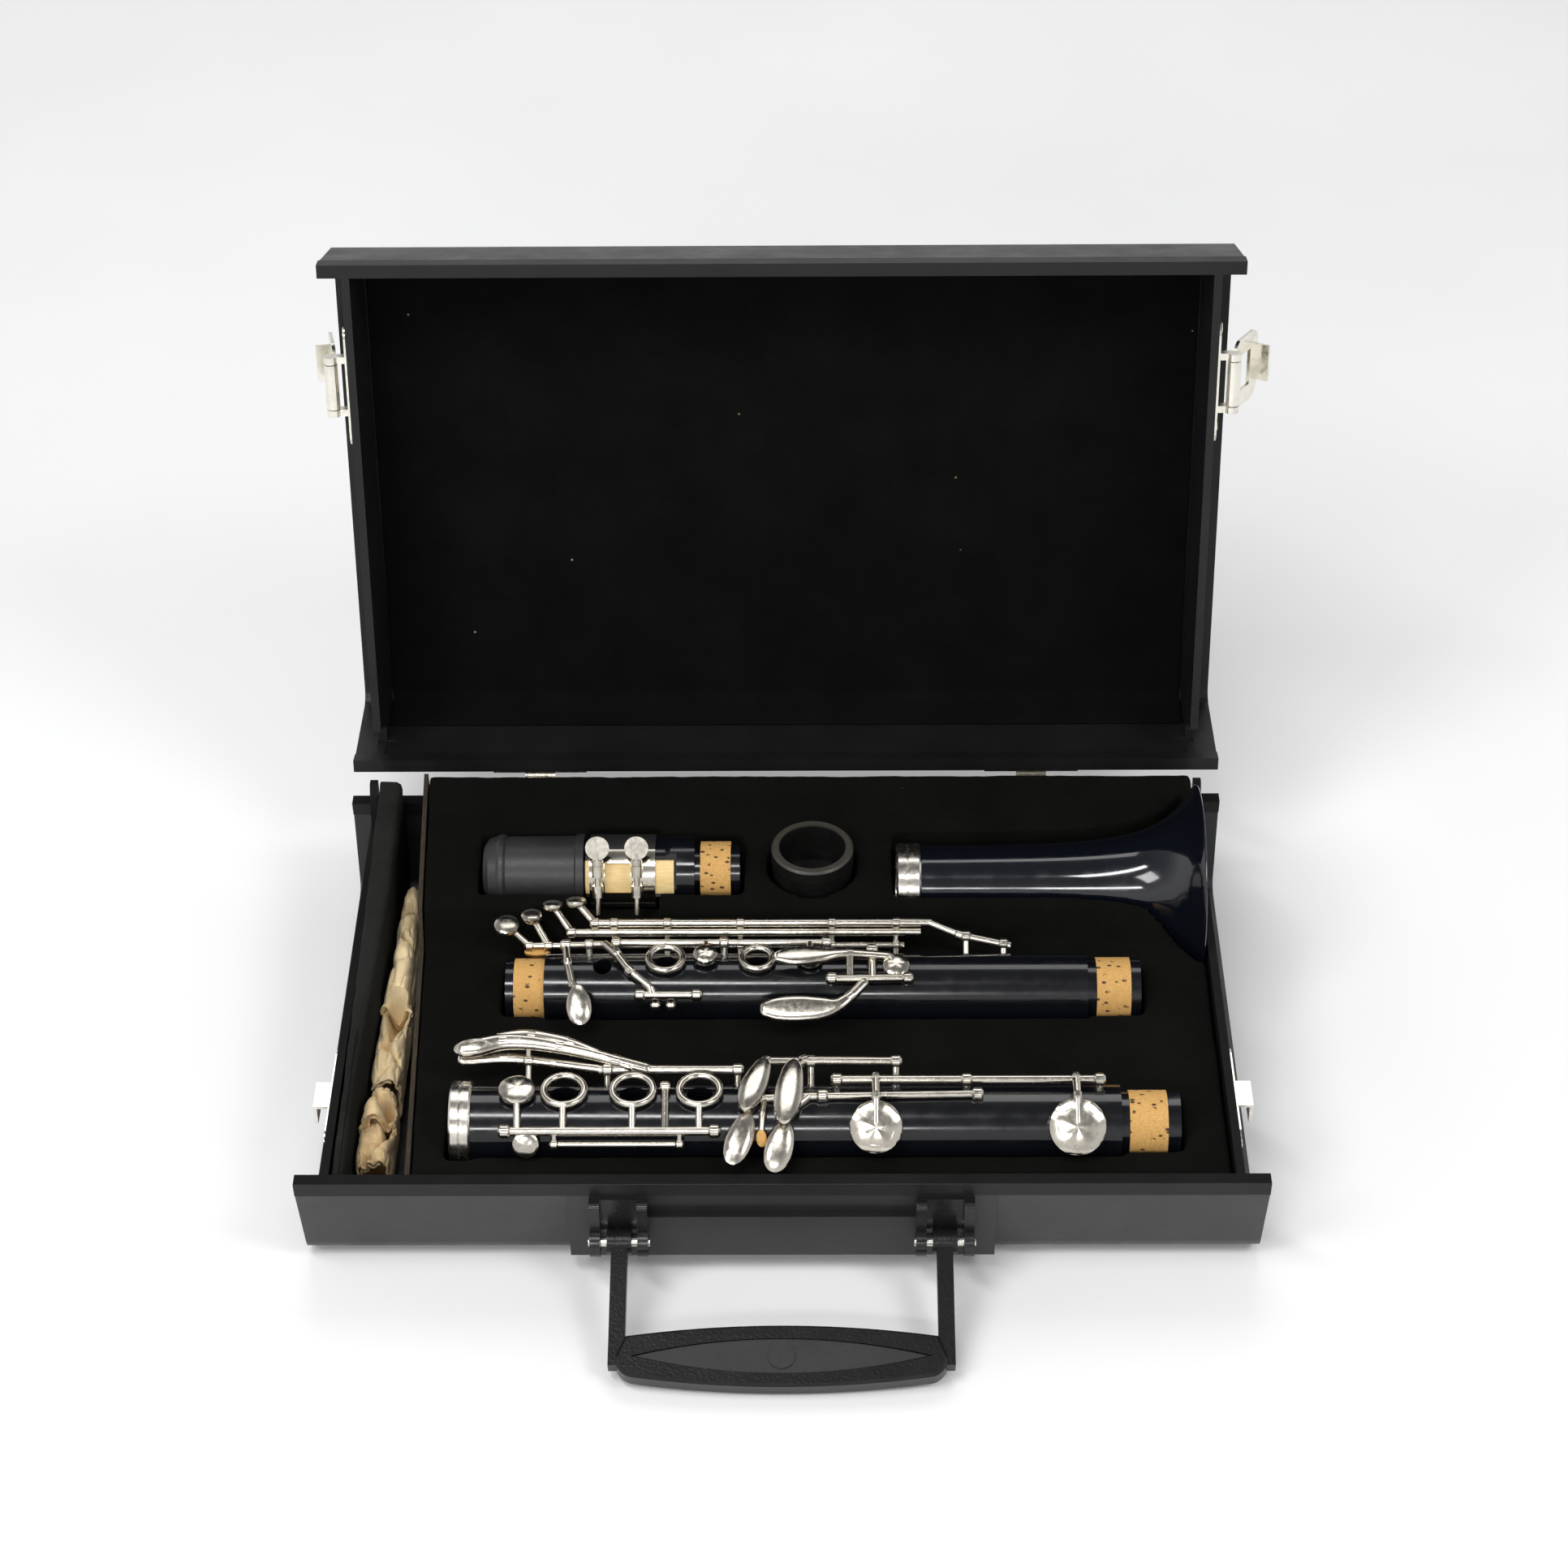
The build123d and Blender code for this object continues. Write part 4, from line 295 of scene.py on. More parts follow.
def barrel_black():
    """Dull turned black, paler and browner over the top rim."""
    s = Shader("barrel_black", (0.008, 0.008, 0.0075), 0.42)
    rim = s.levels(s.along("Z"), BARREL_RIM_Z * MM, (BARREL_RIM_Z + 0.7) * MM)
    fibre = s.noise(0.8, 4, 0.6)
    edge = s.mix(s.levels(fibre, 0.35, 0.7), (0.040, 0.037, 0.030), (0.058, 0.052, 0.040))
    s.set(Base_Color=s.mix(rim, (0.0055, 0.0055, 0.005), edge))
    s.set(Roughness=s.levels(s.noise(0.3, 4, 0.6), 0.3, 0.75, 0.36, 0.52))
    s.bump(s.noise(1.6, 3, 0.5, (1, 1, 0.05)), 0.02, 0.4)
    return s.material


def board():
    s = Shader("board_edge", (0.055, 0.034, 0.020), 0.85)
    layers = s.noise(0.9, 4, 0.65, (3, 0.2, 1))
    ply = s.levels(layers, 0.35, 0.7)
    s.set(Base_Color=s.mix(ply, (0.012, 0.009, 0.006), (0.065, 0.044, 0.022)))
    s.bump(layers, 0.2, 0.6)
    return s.material


def turned_black(name, color, roughness, coat):
    s = Shader(name, color, roughness)
    lathe = s.noise(1.6, 3, 0.5, (1, 0.03, 0.03))
    s.set(Roughness=s.levels(s.noise(0.15, 4, 0.6), 0.3, 0.75, roughness - 0.04, roughness + 0.10))
    s.bsdf.inputs["Coat Weight"].default_value = coat
    s.bsdf.inputs["Coat Roughness"].default_value = 0.06
    s.bump(lathe, 0.01, 0.3)
    return s.material


def rubber():
    s = Shader("foot_rubber", (0.018, 0.018, 0.018), 0.7)
    s.bump(s.noise(1.8, 3), 0.08, 0.5)
    dust = s.levels(s.noise(0.2, 3), 0.3, 0.7)
    s.set(Base_Color=s.mix(dust, (0.015, 0.015, 0.015), (0.03, 0.03, 0.029)))
    return s.material


MATERIALS = {
    "shell": shell_plastic(),
    "bracket": smooth_plastic("bracket_plastic", (0.008, 0.008, 0.0085), 0.24),
    "handle": pebbled_plastic(),
    "insert": smooth_plastic("insert_plastic", (0.016, 0.016, 0.017), 0.42),
    "plush_base": plush("plush_base", (0.0030, 0.0030, 0.0026), 1.0),
    "plush_lid": plush("plush_lid", (0.0024, 0.0025, 0.0026), 0.9),
    "plush_end": plush("plush_end", (0.014, 0.014, 0.0127), 0.8),
    "keys": nickel("key_nickel", (0.70, 0.655, 0.57), 0.19),
    "rings": nickel("ring_nickel", (0.90, 0.86, 0.78), 0.20),
    "steel": nickel("plated_steel", (0.88, 0.85, 0.76), 0.16),
    "cork": cork(),
    "cane": cane(),
    "flannel": flannel(),
    "board": board(),
    "body": turned_black("joint_black", (0.0045, 0.005, 0.007), 0.15, 0.4),
    "bell": turned_black("bell_black", (0.004, 0.005, 0.009), 0.10, 0.9),
    "barrel": barrel_black(),
    "ligature": ligature_metal(),
    "cap": smooth_plastic("cap_plastic", (0.022, 0.022, 0.022), 0.40),
    "rubber": rubber(),
}


# The material of each node by the words in its name; the first row that fits counts
MATERIAL_RULES = (
    (("base_shell", "lid_shell"), "shell"),
    (("bracket",), "bracket"),
    (("handle_panel",), "insert"),
    (("foot",), "rubber"),
    (("divider_board",), "board"),
    (("tray_insert",), "plush_base"),
    (("end_padding",), "plush_end"),
    (("lid_lining",), "plush_lid"),
    (("cloth",), "flannel"),
    (("cork",), "cork"),
    (("reed",), "cane"),
    (("mouthpiece_cap",), "cap"),
    (("bell_ring", "lower_socket_ring"), "rings"),
    (("bell",), "bell"),
    (("barrel",), "barrel"),
    (("mouthpiece", "upper_body", "lower_body"), "body"),
    (("ligature_screw", "keys", "levers"), "keys"),
    (("ligature",), "ligature"))


def material_for(name):
    if name == "handle":
        return "handle"
    for words, key in MATERIAL_RULES:
        if any(word in name for word in words):
            return key
    return "steel"


def dress(obj, key):
    obj.data.materials.clear()
    obj.data.materials.append(MATERIALS[key])


for node_name, node_object in NODES.items():
    dress(node_object, material_for(node_name))


# Plush
# The zone of the left padding that gives, along X, and how far and where the cloth presses it
PRESSED_X = (-152.0, -145.0)
PRESSED_BY = 4.4
PRESSED_BLEND = 3.0
PRESSED_FROM_Y = 45.0
PRESSED_RUN = 110.0


def pressed(place):
    """How far the rolled cloth has pressed the left padding's inner face toward the wall."""
    x, y = place.x / MM, place.y / MM
    if x > PRESSED_X[1] or x < PRESSED_X[0]:
        return 0.0
    forward = min(1.0, max(0.0, (PRESSED_FROM_Y - y) / PRESSED_RUN))
    return PRESSED_BY * forward * min(1.0, (x - PRESSED_X[0]) / PRESSED_BLEND)


def plush_copy(node, name, voxel, rounds, fuzz):
    """The node's form as soft plush: remeshed, its edges rounded, with a little unevenness."""
    source = NODES[node]
    obj = bpy.data.objects.new(name, source.data.copy())
    bpy.context.scene.collection.objects.link(obj)
    remesh = obj.modifiers.new("remesh", "REMESH")
    remesh.mode = "VOXEL"
    remesh.voxel_size = voxel * MM
    smooth = obj.modifiers.new("smooth", "SMOOTH")
    smooth.factor = 0.5
    smooth.iterations = rounds
    obj.data = applied(obj)
    inward = [v.normal.copy() for v in obj.data.vertices]
    for v, n in zip(obj.data.vertices, inward):
        lift = noise.noise(v.co * 55.0) * 0.6 + noise.noise(v.co * 210.0) * 0.4
        v.co = v.co + n * (lift - 0.55) * fuzz * MM
        v.co.x -= pressed(v.co) * MM
    for polygon in obj.data.polygons:
        polygon.use_smooth = True
    return obj


def applied(obj):
    """The object's mesh with its modifiers applied; the modifiers are removed."""
    graph = bpy.context.evaluated_depsgraph_get()
    mesh = bpy.data.meshes.new_from_object(obj.evaluated_get(graph))
    obj.modifiers.clear()
    return mesh


THICK_VOXEL = 1.3
THIN_VOXEL = 0.6
# Node, name, voxel, rounds of smoothing and unevenness in millimetres, and body
PLUSH = (("tray_insert", "tray_plush", THICK_VOXEL, 3, 0.5, "base"),
         ("end_padding", "end_padding_plush", THICK_VOXEL, 3, 0.5, "base"),
         ("lid_lining", "lid_lining_plush", THIN_VOXEL, 1, 0.15, "lid"))


def add_plush():
    for node, name, voxel, rounds, fuzz, body in PLUSH:
        obj = plush_copy(node, name, voxel, rounds, fuzz)
        dress(obj, material_for(node))
        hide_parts(node)
        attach(obj, body)


# Mesh building, in millimetres
def add_piece(name, points, faces, material, slot, body="base"):
    mesh = bpy.data.meshes.new(name)
    mesh.from_pydata([tuple(c * MM for c in p) for p in points], [], faces)
    shape = bmesh.new()
    shape.from_mesh(mesh)
    bmesh.ops.recalc_face_normals(shape, faces=shape.faces)
    shape.to_mesh(mesh)
    shape.free()
    for polygon in mesh.polygons:
        polygon.use_smooth = True
    mesh.set_sharp_from_angle(angle=math.radians(40))
    mesh.materials.append(MATERIALS[material])
    obj = bpy.data.objects.new(name, mesh)
    bpy.context.scene.collection.objects.link(obj)
    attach(obj, body)
    return obj


def skin(rings, closed=False):
    """Points and faces that join one ring of points to the next; a ring of one point is a pole."""
    points, starts, faces = [], [], []
    for ring in rings:
        starts.append(len(points))
        points += ring
    last = len(rings) if closed else len(rings) - 1
    for i in range(last):
        j = (i + 1) % len(rings)
        a, b = starts[i], starts[j]
        na, nb = len(rings[i]), len(rings[j])
        for k in range(max(na, nb)):
            n = (k + 1) % max(na, nb)
            if na == 1:
                faces.append((a, b + k, b + n))
            elif nb == 1:
                faces.append((a + k, b, a + n))
            else:
                faces.append((a + k, b + k, b + n, a + n))
    return points, faces


def frame_of(along, normal):
    """Unit vectors along, across and out of a piece whose face looks along normal."""
    x = Vector(along).normalized()
    z = Vector(normal)
    z = (z - x * z.dot(x)).normalized()
    return x, z.cross(x), z


TURN = 40
# Share of the outline, and height as a share of half the plate's thickness, under the crown
PAD_EDGE = [(0.0, -1.25), (0.80, -1.25), (0.95, -1.0), (1.0, -0.35), (1.0, 0.35), (0.965, 1.1)]
# Share of the outline, and share of the crown's height
PAD_CROWN = [(0.90, 0.20), (0.78, 0.50), (0.60, 0.78), (0.38, 0.94), (0.18, 0.99), (0.0, 1.0)]


def touch(name, centre, along, normal, length, width, thickness, crown, taper=0.0, wedge=0.0):
    """A key's touch or pad cup: an oval with a rounded edge and a domed face over its plate."""
    x, y, z = frame_of(along, normal)
    middle = Vector(centre)
    half = thickness / 2
    levels = [(s, h * half) for s, h in PAD_EDGE]
    levels += [(s, half * 1.1 + h * crown) for s, h in PAD_CROWN]
    rings = []
    for share, height in levels:
        ring = []
        for k in range(TURN if share else 1):
            a = 2 * math.pi * k / TURN
            reach = length / 2 * share * math.cos(a)
            side = width / 2 * share * math.sin(a) * (1 - taper * math.cos(a))
            lift = height + wedge * math.sin(5 * a + 0.6) * share * (1 if height > half else 0)
            ring.append(tuple(middle + x * reach + y * side + z * lift))
        rings.append(ring)
    return add_piece(name, *skin(rings), "keys", "nickel")


def smooth_line(stops, per_span):
    """Catmull-Rom through rows of numbers."""
    padded = [stops[0]] + list(stops) + [stops[-1]]
    rows = []
    for a, b, c, d in zip(padded, padded[1:], padded[2:], padded[3:]):
        for k in range(per_span):
            t = k / per_span
            rows.append(tuple(
                0.5 * (2 * q + (r - p) * t + (2 * p - 5 * q + 4 * r - s) * t * t
                       + (3 * q - p - 3 * r + s) * t ** 3)
                for p, q, r, s in zip(a, b, c, d)))
    rows.append(tuple(stops[-1]))
    return rows


# Rounded ends of a blade: how far out, as a share of its half width, and the section's share
BLADE_START = ((-1, 1.0), (-0.75, 0.66), (-0.4, 0.92))
BLADE_END = ((0.4, 0.92), (0.75, 0.66), (1, 1.0))
BLADE_REACH = 0.8
BLADE_SECTION = 24


def blade_section(centre, y, z, half_width, half_thickness):
    """A rounded rectangle across a blade."""
    ring = []
    for k in range(BLADE_SECTION):
        a = 2 * math.pi * k / BLADE_SECTION
        c, s = math.cos(a), math.sin(a)
        side = math.copysign(abs(c) ** 0.75, c) * half_width
        lift = math.copysign(abs(s) ** 0.75, s) * half_thickness
        ring.append(tuple(centre + y * side + z * lift))
    return ring


def blade(name, normal, stops):
    """A flat rounded lever; stops are x, y, z, half width and half thickness along it."""
    rows = smooth_line(stops, 8)
    places = [Vector(r[:3]) for r in rows]
    last = len(rows) - 1
    rings = []
    for i, row in enumerate(rows):
        ahead = places[min(i + 1, last)] - places[max(i - 1, 0)]
        x, y, z = frame_of(ahead, normal)
        shares = (BLADE_START if i == 0 else ()) + ((0, 1.0),) + (BLADE_END if i == last else ())
        for out, share in shares:
            centre = places[i] + x * out * row[3] * BLADE_REACH
            if abs(out) == 1:
                rings.append([tuple(centre)])
            else:
                rings.append(blade_section(centre, y, z, row[3] * share, row[4] * share))
    return add_piece(name, *skin(rings), "keys", "nickel")


def ring_piece(name, centre, major, minor):
    rings = []
    for k in range(48):
        a = 2 * math.pi * k / 48
        ring = []
        for j in range(16):
            b = 2 * math.pi * j / 16
            r = major + minor * math.cos(b)
            ring.append((centre[0] + r * math.cos(a), centre[1] + r * math.sin(a),
                         centre[2] + minor * math.sin(b)))
        rings.append(ring)
    return add_piece(name, *skin(rings, closed=True), "keys", "nickel")


# Name, centre, face's normal and diameter of the round touches at the side keys' ends
SIDE_TOUCHES = (
    ("side_touch_1", (-76.1, 25.4, 58.1), (0, 0.4, 0.92), 6.8),
    ("side_touch_2", (-84.7, 24.8, 57.0), (0, 0.4, 0.92), 6.8),
    ("side_touch_3", (-92.3, 20.8, 55.2), (0, 0.1, 1), 7.2),
    ("side_touch_4", (-101.2, 16.4, 54.6), (0, -0.1, 1), 8.6))
# Name, centre, direction, length and width of the little finger's touches
PADDLES = (
    ("paddle_1", (-9.4, -69.6, 58.4), (0.30, 0.95, 0.06), 24.0, 8.4),
    ("paddle_2", (2.5, -73.6, 58.9), (0.12, 0.99, 0.06), 29.0, 9.0),
    ("paddle_3", (-14.5, -88.2, 50.4), (0.31, 0.85, 0.42), 19.4, 8.6),
    ("paddle_4", (-0.8, -90.2, 48.4), (0.27, 0.77, 0.58), 17.6, 9.2))
# Name, centre, face's normal, radius and thickness of the small pad cups
CUPS = (
    ("upper_cup_left", (-28.1, -2.2, 57.0), (0, -0.1, 1), 4.2, 2.2),
    ("upper_cup_right", (9.6, -2.6, 56.2), (0, -0.1, 1), 4.4, 2.0),
    ("throat_cup", (40.6, -8.6, 57.2), (0, -0.2, 1), 4.6, 2.0),
    ("lower_cup", (-91.7, -70.6, 56.7), (0, 0, 1), 6.2, 1.9),
    ("low_side_cup", (-88.2, -87.0, 46.8), (0, -0.85, 0.5), 4.4, 1.6))
# Name, place along X and radius of the large pad cups, round the lower joint's axis (y, z)
PAD_CUPS = (("pad_cup_middle", 32.4, 8.9), ("pad_cup_right", 101.6, 9.7))
LOWER_AXIS = (-71.2, 40.5)
PAD_CUP_OUT = 17.2
PAD_CUP_TURN = (math.cos(math.radians(138)), math.sin(math.radians(138)))


def add_touches():
    for name, centre, normal, width in SIDE_TOUCHES:
        touch(name, centre, (1, 0, 0), normal, width + 0.7, width + 0.7, 1.8, 0.8)
    for name, centre, along, length, width in PADDLES:
        touch(name, centre, along, (0, -along[2], along[1]), length + 0.8, width + 0.8,
              2.0, 1.3, 0.10)
    touch("left_hand_touch", (-73.0, -21.9, 50.8), (0.10, -0.85, -0.50), (0, -0.50, 0.85),
          15.5, 9.2, 1.8, 1.2, -0.12)
    for name, centre, normal, radius, thickness in CUPS:
        across = radius * 2 + 0.6
        touch(name, centre, (1, 0, 0), normal, across, across, thickness, 0.9, wedge=0.10)
    c, s = PAD_CUP_TURN
    for name, x, radius in PAD_CUPS:
        centre = (x, LOWER_AXIS[0] + PAD_CUP_OUT * c, LOWER_AXIS[1] + PAD_CUP_OUT * s)
        across = radius * 2 + 0.7
        touch(name, centre, (1, 0, 0), (0, c, s), across, across, 2.4, 1.55, wedge=0.20)


# Name, face's normal, and stops as x, y, z, half width and half thickness
BLADES = (
    ("throat_touch", (0, -0.1, 1), (
        (-1.6, -6.4, 60.2, 2.4, 1.1), (2.4, -6.3, 60.3, 3.9, 1.4), (8.0, -6.1, 60.4, 4.1, 1.5),
        (14.0, -5.8, 60.3, 3.0, 1.5), (20.0, -4.9, 59.9, 1.9, 1.6), (26.0, -4.5, 59.5, 1.65, 1.65),
        (38.0, -5.0, 58.7, 1.6, 1.6))),
    ("register_touch", (0, -0.45, 0.9), (
        (-6.0, -26.6, 53.2, 3.0, 1.3), (-2.0, -26.5, 53.3, 4.4, 1.5), (6.0, -26.4, 53.4, 4.9, 1.6),
        (14.0, -26.3, 53.5, 4.1, 1.6), (19.6, -25.2, 53.9, 2.5, 1.8),
        (24.4, -21.6, 55.1, 1.9, 1.85), (29.0, -16.6, 56.6, 1.8, 1.8))),
    ("long_lever_front", (0, -0.3, 1), (
        (-112.6, -50.2, 51.7, 2.2, 1.6), (-106.0, -50.0, 51.7, 2.4, 1.7),
        (-98.0, -49.8, 51.7, 2.1, 1.7), (-88.0, -51.3, 51.95, 1.7, 1.65),
        (-80.0, -53.0, 52.2, 1.65, 1.65), (-63.0, -57.4, 53.5, 1.65, 1.65))),
    ("long_lever_rear", (0, -0.5, 0.9), (
        (-112.0, -50.6, 56.6, 2.6, 1.9), (-107.0, -49.6, 57.0, 3.2, 2.1),
        (-98.0, -47.2, 57.2, 2.9, 2.1), (-88.0, -47.6, 57.1, 2.7, 2.1),
        (-78.0, -49.4, 56.6, 2.4, 2.1), (-68.0, -52.2, 56.3, 2.2, 2.05),
        (-58.0, -55.4, 55.8, 2.05, 2.05), (-47.0, -57.4, 53.8, 2.0, 2.0))),
    ("long_lever_beside", (0, -0.3, 1), (
        (-99.4, -45.6, 57.5, 2.0, 1.8), (-94.0, -45.2, 57.8, 2.5, 1.9),
        (-88.0, -45.2, 57.9, 2.5, 1.9), (-80.0, -46.6, 57.6, 2.2, 1.9),
        (-74.0, -48.4, 57.2, 2.0, 1.85), (-62.0, -54.0, 56.2, 1.85, 1.85),
        (-53.0, -57.2, 54.8, 1.8, 1.8))))
# Name, centre, and radius of a ring key's middle line and of its section
RINGS = (
    ("ring_upper_left", (-42.5, -2.6, 55.7), 6.2, 1.36),
    ("ring_upper_right", (-9.4, -2.6, 55.7), 5.55, 1.30),
    ("ring_lower_left", (-75.5, -70.2, 56.3), 7.05, 1.32),
    ("ring_lower_middle", (-51.6, -70.2, 56.3), 7.05, 1.32),
    ("ring_lower_right", (-28.5, -70.2, 56.3), 7.05, 1.32))


def add_levers():
    for name, normal, stops in BLADES:
        blade(name, normal, stops)
    for name, centre, major, minor in RINGS:
        ring_piece(name, centre, major, minor)


# Name, centre, direction, normal, length, width and thickness
KEY_CORKS = (
    ("key_cork_paddles", (-7.0, -85.6, 48.6), (0.05, -0.55, -0.83), (0, -0.83, 0.55),
     6.0, 3.6, 3.4),
    ("key_cork_side", (-90.2, 12.6, 44.9), (1, 0, 0), (0, -0.4, 0.9), 9.6, 3.4, 2.4))


def add_key_corks():
    for name, centre, along, normal, length, width, thickness in KEY_CORKS:
        piece = touch(name, centre, along, normal, length, width, thickness, 0.3)
        dress(piece, "cork")


# The bell's outline as (x, radius), outside from the ring, inside from the socket, and its lip
BELL_OUTSIDE = [(51.4, 14.6), (70.0, 14.8), (95.0, 15.4), (112.0, 16.4), (125.0, 18.2),
                (135.0, 21.0), (142.5, 25.0), (148.0, 30.0), (152.0, 35.4), (153.4, 37.05)]
BELL_INSIDE = [(61.4, 7.6), (95.0, 9.0), (118.0, 12.6), (133.0, 17.6), (143.0, 23.2),
               (150.0, 30.6), (153.2, 35.3)]
BELL_LIP = [(153.8, 36.0), (154.15, 36.5), (154.15, 36.9), (153.8, 37.2)]
BELL_SOCKET = [(42.7, 11.9), (61.4, 11.9)]
BELL_RING_SEAT = [(51.1, 14.6), (51.1, 13.4), (42.7, 13.4)]
BELL_AXIS = (49.6, 45.0)


def add_bell():
    """The bell as one smooth turned wall, with its socket, bore and rounded lip."""
    line = BELL_SOCKET + smooth_line(BELL_INSIDE, 6) + BELL_LIP
    line += list(reversed(smooth_line(BELL_OUTSIDE, 6))) + BELL_RING_SEAT
    around = 144
    angles = [2 * math.pi * k / around for k in range(around)]
    rings = [[(x, BELL_AXIS[0] + r * math.cos(a), BELL_AXIS[1] + r * math.sin(a)) for a in angles]
             for x, r in line]
    bell = add_piece("bell_turned", *skin(rings, closed=True), "bell", "instrument_black")
    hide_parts("bell")


# Cloth
# Place along Y, middle along X, half width, low and high, all in millimetres
ROLL = [(-38.5, -142.9, 6.3, 5.4, 33.0), (-20.0, -142.4, 6.0, 5.4, 36.0),
        (-2.0, -141.8, 5.9, 5.4, 38.0), (18.0, -141.0, 5.3, 5.4, 38.5),
        (38.0, -141.2, 4.8, 5.4, 37.0), (52.0, -140.7, 4.2, 5.4, 38.0),
        (64.0, -141.1, 3.3, 5.4, 34.0)]
FOLD = [(-78.5, -143.4, 6.8, 5.4, 33.0), (-72.0, -143.2, 7.1, 5.4, 37.0),
        (-56.0, -142.9, 6.8, 5.4, 38.0), (-44.5, -142.7, 6.0, 5.4, 34.0)]
# Creases across a roll: place along Y, width, depth and lean
ROLL_CREASES = [(46.5, 1.7, 8.0, 0.4), (31.0, 1.5, 3.6, -0.9), (36.5, 1.2, 1.8, 1.1),
                (20.0, 2.0, 1.6, 0.6), (-14.0, 1.6, 2.4, 1.6), (-22.0, 1.6, 2.6, -1.5),
                (-31.0, 1.4, 1.8, 1.2)]
FOLD_CREASES = [(-72.0, 1.5, 2.6, 1.4), (-51.0, 1.4, 2.0, -0.9), (-77.5, 1.2, 2.2, -1.2)]
# Hollows inside a fold's mouth: where each starts and ends along Y, its depth, half width
# and offset from the middle
ROLL_HOLLOWS = [(3.0, -18.0, 19.0, 4.3, 0.2), (-16.0, -37.0, 3.0, 1.6, -1.6)]
FOLD_HOLLOWS = [(-49.0, -68.0, 19.0, 3.0, 3.4), (-70.0, -80.0, 5.0, 1.4, -3.0)]
CLOTH_THICKNESS = 0.8
# The under layer starts behind the mouth, this much lower, and rises toward the front
MOUTH_SETBACK = 2.0
MOUTH_OVERLAP = 9.0
MOUTH_DROP = 8.0
MOUTH_RISE = 5.5
MOUTH_ROWS = 8
# How much narrower and lower the innermost turn is than the outermost
CORE_NARROWER = 0.30
CORE_LOWER = 0.16
SECTION_POWER = 0.8
START_TURN = math.radians(60)


def hollow(dx, y, start, end, depth, half_width, offset):
    share = (start - y) / (start - end)
    if share <= 0 or share >= 1:
        return 0.0
    reach = half_width * (1 - share) + 0.5
    off = (dx - offset) / reach
    return depth * min(1.0, share * 8) * (1 - share) ** 0.7 * math.exp(-off * off)


def along_table(table, y):
    if y <= table[0][0]:
        return table[0][1:]
    for a, b in zip(table, table[1:]):
        if y <= b[0]:
            t = (y - a[0]) / (b[0] - a[0])
            t = t * t * (3 - 2 * t)
            return tuple(p + (q - p) * t for p, q in zip(a[1:], b[1:]))
    return table[-1][1:]


def crumple(x, y, z, size):
    """Creased unevenness: sharp valleys at two scales."""
    big = 1 - abs(noise.noise(Vector((x * 0.09, y * 0.055, z * 0.09)))) * 2.4
    small = 1 - abs(noise.noise(Vector((x * 0.22 + 9, y * 0.13, z * 0.22)))) * 2.4
    return -(max(big, 0) ** 3) * size - (max(small, 0) ** 4) * size * 0.5


def cloth_rows(mouth, front, back, steps):
    """Rows along a roll as (y at the sides, y over the top, drop of the top)."""
    rows = []
    for k in range(steps + 1):
        t = k / steps
        y = back + (mouth - back) * t
        rows.append((y, y, 0.0))
    for k in range(1, MOUTH_ROWS + 1):
        t = k / MOUTH_ROWS
        rows.append((mouth - MOUTH_SETBACK * t, mouth + MOUTH_OVERLAP * math.sin(math.pi / 2 * t),
                     MOUTH_DROP * t ** 1.5))
    for k in range(1, steps + 1):
        t = k / steps
        y = mouth - MOUTH_SETBACK + (front - mouth + MOUTH_SETBACK) * t
        top = mouth + MOUTH_OVERLAP + (front - mouth - MOUTH_OVERLAP) * t
        rows.append((y, top, MOUTH_DROP - MOUTH_RISE * t))
    return rows


def cloth_point(row, share, table, creases, hollows, turns, seed):
    """A place on the wrapped sheet, share of the way round from its hidden to its loose edge."""
    side_y, top_y, drop = row
    angle = START_TURN + turns * 2 * math.pi * share
    c, s = math.cos(angle), math.sin(angle)
    topness = max(0.0, s) ** 1.5
    y = side_y + (top_y - side_y) * topness
    x_mid, half, low, high = along_table(table, y)
    x = x_mid + math.copysign(abs(c) ** SECTION_POWER, c) * half * (1 - CORE_NARROWER * (1 - share))
    tall = (high - low) / 2 * (1 - CORE_LOWER * (1 - share))
    z = (low + high) / 2 + math.copysign(abs(s) ** SECTION_POWER, s) * tall
    z -= drop * topness
    for at, width, depth, lean in creases:
        off = (y - at - lean * (x - x_mid)) / width
        z -= depth * topness * math.exp(-off * off)
    z -= sum(hollow(x - x_mid, y, *h) for h in hollows) * topness
    push = crumple(x + seed, y, z, 1.9 if s > -0.2 else 0.3)
    return x + c * push * 0.6, y, z + s * push


def cloth(name, table, rows, creases, hollows, turns, seed):
    """A sheet wrapped round its roll: a spiral section, creased, with its loose edge on top."""
    around = 120
    points = [cloth_point(row, k / around, table, creases, hollows, turns, seed)
              for row in rows for k in range(around + 1)]
    width = around + 1
    faces = []
    for i in range(len(rows) - 1):
        for k in range(around):
            a = i * width + k
            faces.append((a, a + 1, a + width + 1, a + width))
    obj = add_piece(name, points, faces, "flannel", "cloth")
    thick = obj.modifiers.new("thickness", "SOLIDIFY")
    thick.thickness = CLOTH_THICKNESS * MM
    thick.offset = -1
    obj.data = applied(obj)
    return obj


def add_cloths():
    steps = 56
    roll = cloth("cloth_rolled", ROLL, cloth_rows(-1.5, -37.5, 63.0, steps), ROLL_CREASES,
                 ROLL_HOLLOWS, 1.28, 0)
    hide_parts("cloth_roll")
    fold = cloth("cloth_folded", FOLD, cloth_rows(-62.0, -78.0, -45.5, steps // 2), FOLD_CREASES,
                 FOLD_HOLLOWS, 1.35, 40)
    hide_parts("cloth_fold")


# Stage, light and camera
FLOOR_REACH = 8


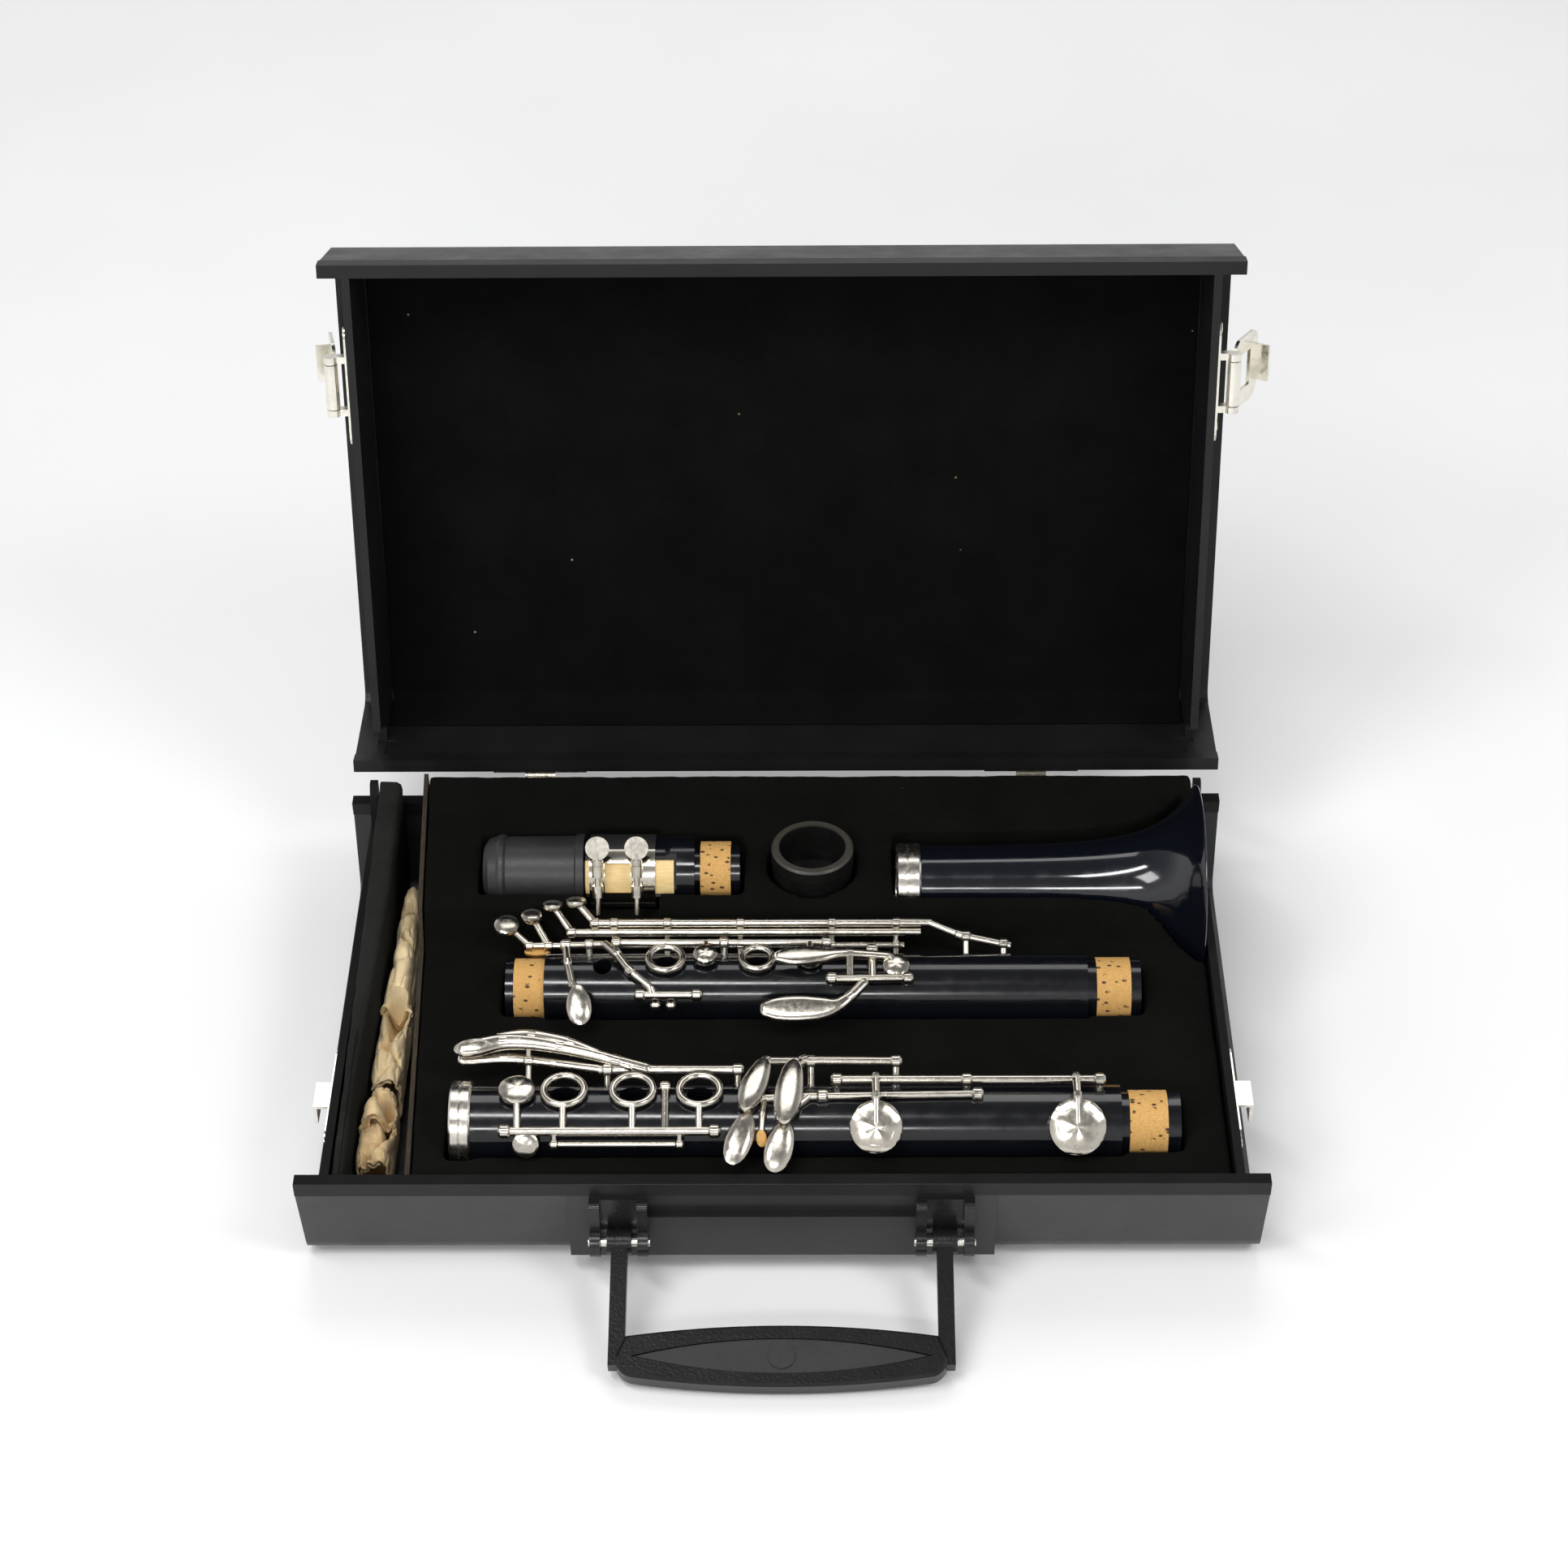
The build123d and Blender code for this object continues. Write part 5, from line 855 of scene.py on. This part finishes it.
def add_floor():
    mesh = bpy.data.meshes.new("floor")
    sides = ((-1, -1), (1, -1), (1, 1), (-1, 1))
    corners = [(x * FLOOR_REACH, y * FLOOR_REACH, 0) for x, y in sides]
    mesh.from_pydata(corners, [], [(0, 1, 2, 3)])
    floor = bpy.data.objects.new("floor", mesh)
    bpy.context.scene.collection.objects.link(floor)
    s = Shader("floor_paper", (0.93, 0.93, 0.935), 0.8)
    cloudy = s.levels(s.noise(0.01, 2), 0.3, 0.7)
    s.set(Base_Color=s.mix(cloudy, (0.955, 0.955, 0.96), (0.975, 0.975, 0.98)))
    s.bsdf.inputs["Specular IOR Level"].default_value = 0.2
    s.bump(s.noise(0.4, 2), 0.02, 0.2)
    mesh.materials.append(s.material)


# Name, place, what it looks at, width and depth in metres, and power in watts
LIGHTS = (
    ("key_left", (-1.1, -0.9, 1.5), (0, 0, 0.05), 0.6, 0.6, 8.2),
    ("key_right", (1.1, -0.7, 1.5), (0, 0, 0.05), 0.6, 0.6, 8.2),
    ("overhead", (-0.35, -0.42, 1.45), (0, 0, 0.05), 0.9, 0.14, 6.2),
    ("front_strip", (-0.35, -1.45, 0.98), (0, 0, 0.05), 0.9, 0.12, 5.8),
    ("back_fill", (0, 1.2, 1.6), (0, 0.2, 0.1), 1.2, 1.2, 9))


def add_lights():
    for name, place, target, width, depth, power in LIGHTS:
        light = bpy.data.lights.new(name, "AREA")
        light.energy = power
        light.shape = "RECTANGLE"
        light.size = width
        light.size_y = depth
        obj = bpy.data.objects.new(name, light)
        bpy.context.scene.collection.objects.link(obj)
        obj.location = place
        direction = Vector(target) - Vector(place)
        obj.rotation_euler = direction.to_track_quat("-Z", "Y").to_euler()


# Share of the way up from straight below, and brightness
SKY = ((0.0, 0.62), (0.30, 0.74), (0.62, 0.30), (1.0, 0.13))
SKY_BLUE = 1.01


def add_world():
    """A studio that is bright round the horizon and darker overhead."""
    world = bpy.data.worlds.new("studio")
    world.use_nodes = True
    tree = world.node_tree
    place = tree.nodes.new("ShaderNodeTexCoord")
    split = tree.nodes.new("ShaderNodeSeparateXYZ")
    ramp = tree.nodes.new("ShaderNodeValToRGB")
    tree.links.new(place.outputs["Generated"], split.inputs["Vector"])
    tree.links.new(split.outputs["Z"], ramp.inputs["Fac"])
    tree.links.new(ramp.outputs["Color"], tree.nodes["Background"].inputs["Color"])
    elements = ramp.color_ramp.elements
    while len(elements) < len(SKY):
        elements.new(0.5)
    for element, (at, value) in zip(elements, SKY):
        element.position = at
        element.color = (value, value, value * SKY_BLUE, 1)
    tree.nodes["Background"].inputs["Strength"].default_value = 1.0
    bpy.context.scene.world = world


# Solved from the photograph: place in metres, angles in degrees, lengths in pixels
CAMERA_PLACE = (0.01415, -0.93771, 0.91725)
CAMERA_YAW = 0.805
CAMERA_PITCH = 39.814
CAMERA_ROLL = -0.674
FOCAL_PIXELS = 4337.8
FRAME_PIXELS = 1932
SENSOR_WIDTH = 36.0


def add_camera():
    yaw, pitch, roll = (math.radians(a) for a in (CAMERA_YAW, CAMERA_PITCH, CAMERA_ROLL))
    level = Vector((math.cos(yaw), math.sin(yaw), 0))
    upright = Vector((-math.sin(yaw) * math.sin(pitch), math.cos(yaw) * math.sin(pitch),
                      math.cos(pitch)))
    ahead = Vector((-math.sin(yaw) * math.cos(pitch), math.cos(yaw) * math.cos(pitch),
                    -math.sin(pitch)))
    right = level * math.cos(roll) + upright * math.sin(roll)
    up = upright * math.cos(roll) - level * math.sin(roll)
    data = bpy.data.cameras.new("camera")
    data.sensor_fit = "HORIZONTAL"
    data.sensor_width = SENSOR_WIDTH
    data.lens = FOCAL_PIXELS / FRAME_PIXELS * SENSOR_WIDTH
    camera = bpy.data.objects.new("camera", data)
    bpy.context.scene.collection.objects.link(camera)
    turn = Matrix((right, up, -ahead)).transposed().to_4x4()
    camera.matrix_world = Matrix.Translation(CAMERA_PLACE) @ turn
    bpy.context.scene.camera = camera


add_camera()
add_world()
add_lights()
add_floor()
add_plush()
add_touches()
add_levers()
add_key_corks()
add_bell()
add_cloths()

bpy.context.scene.view_settings.view_transform = "Standard"
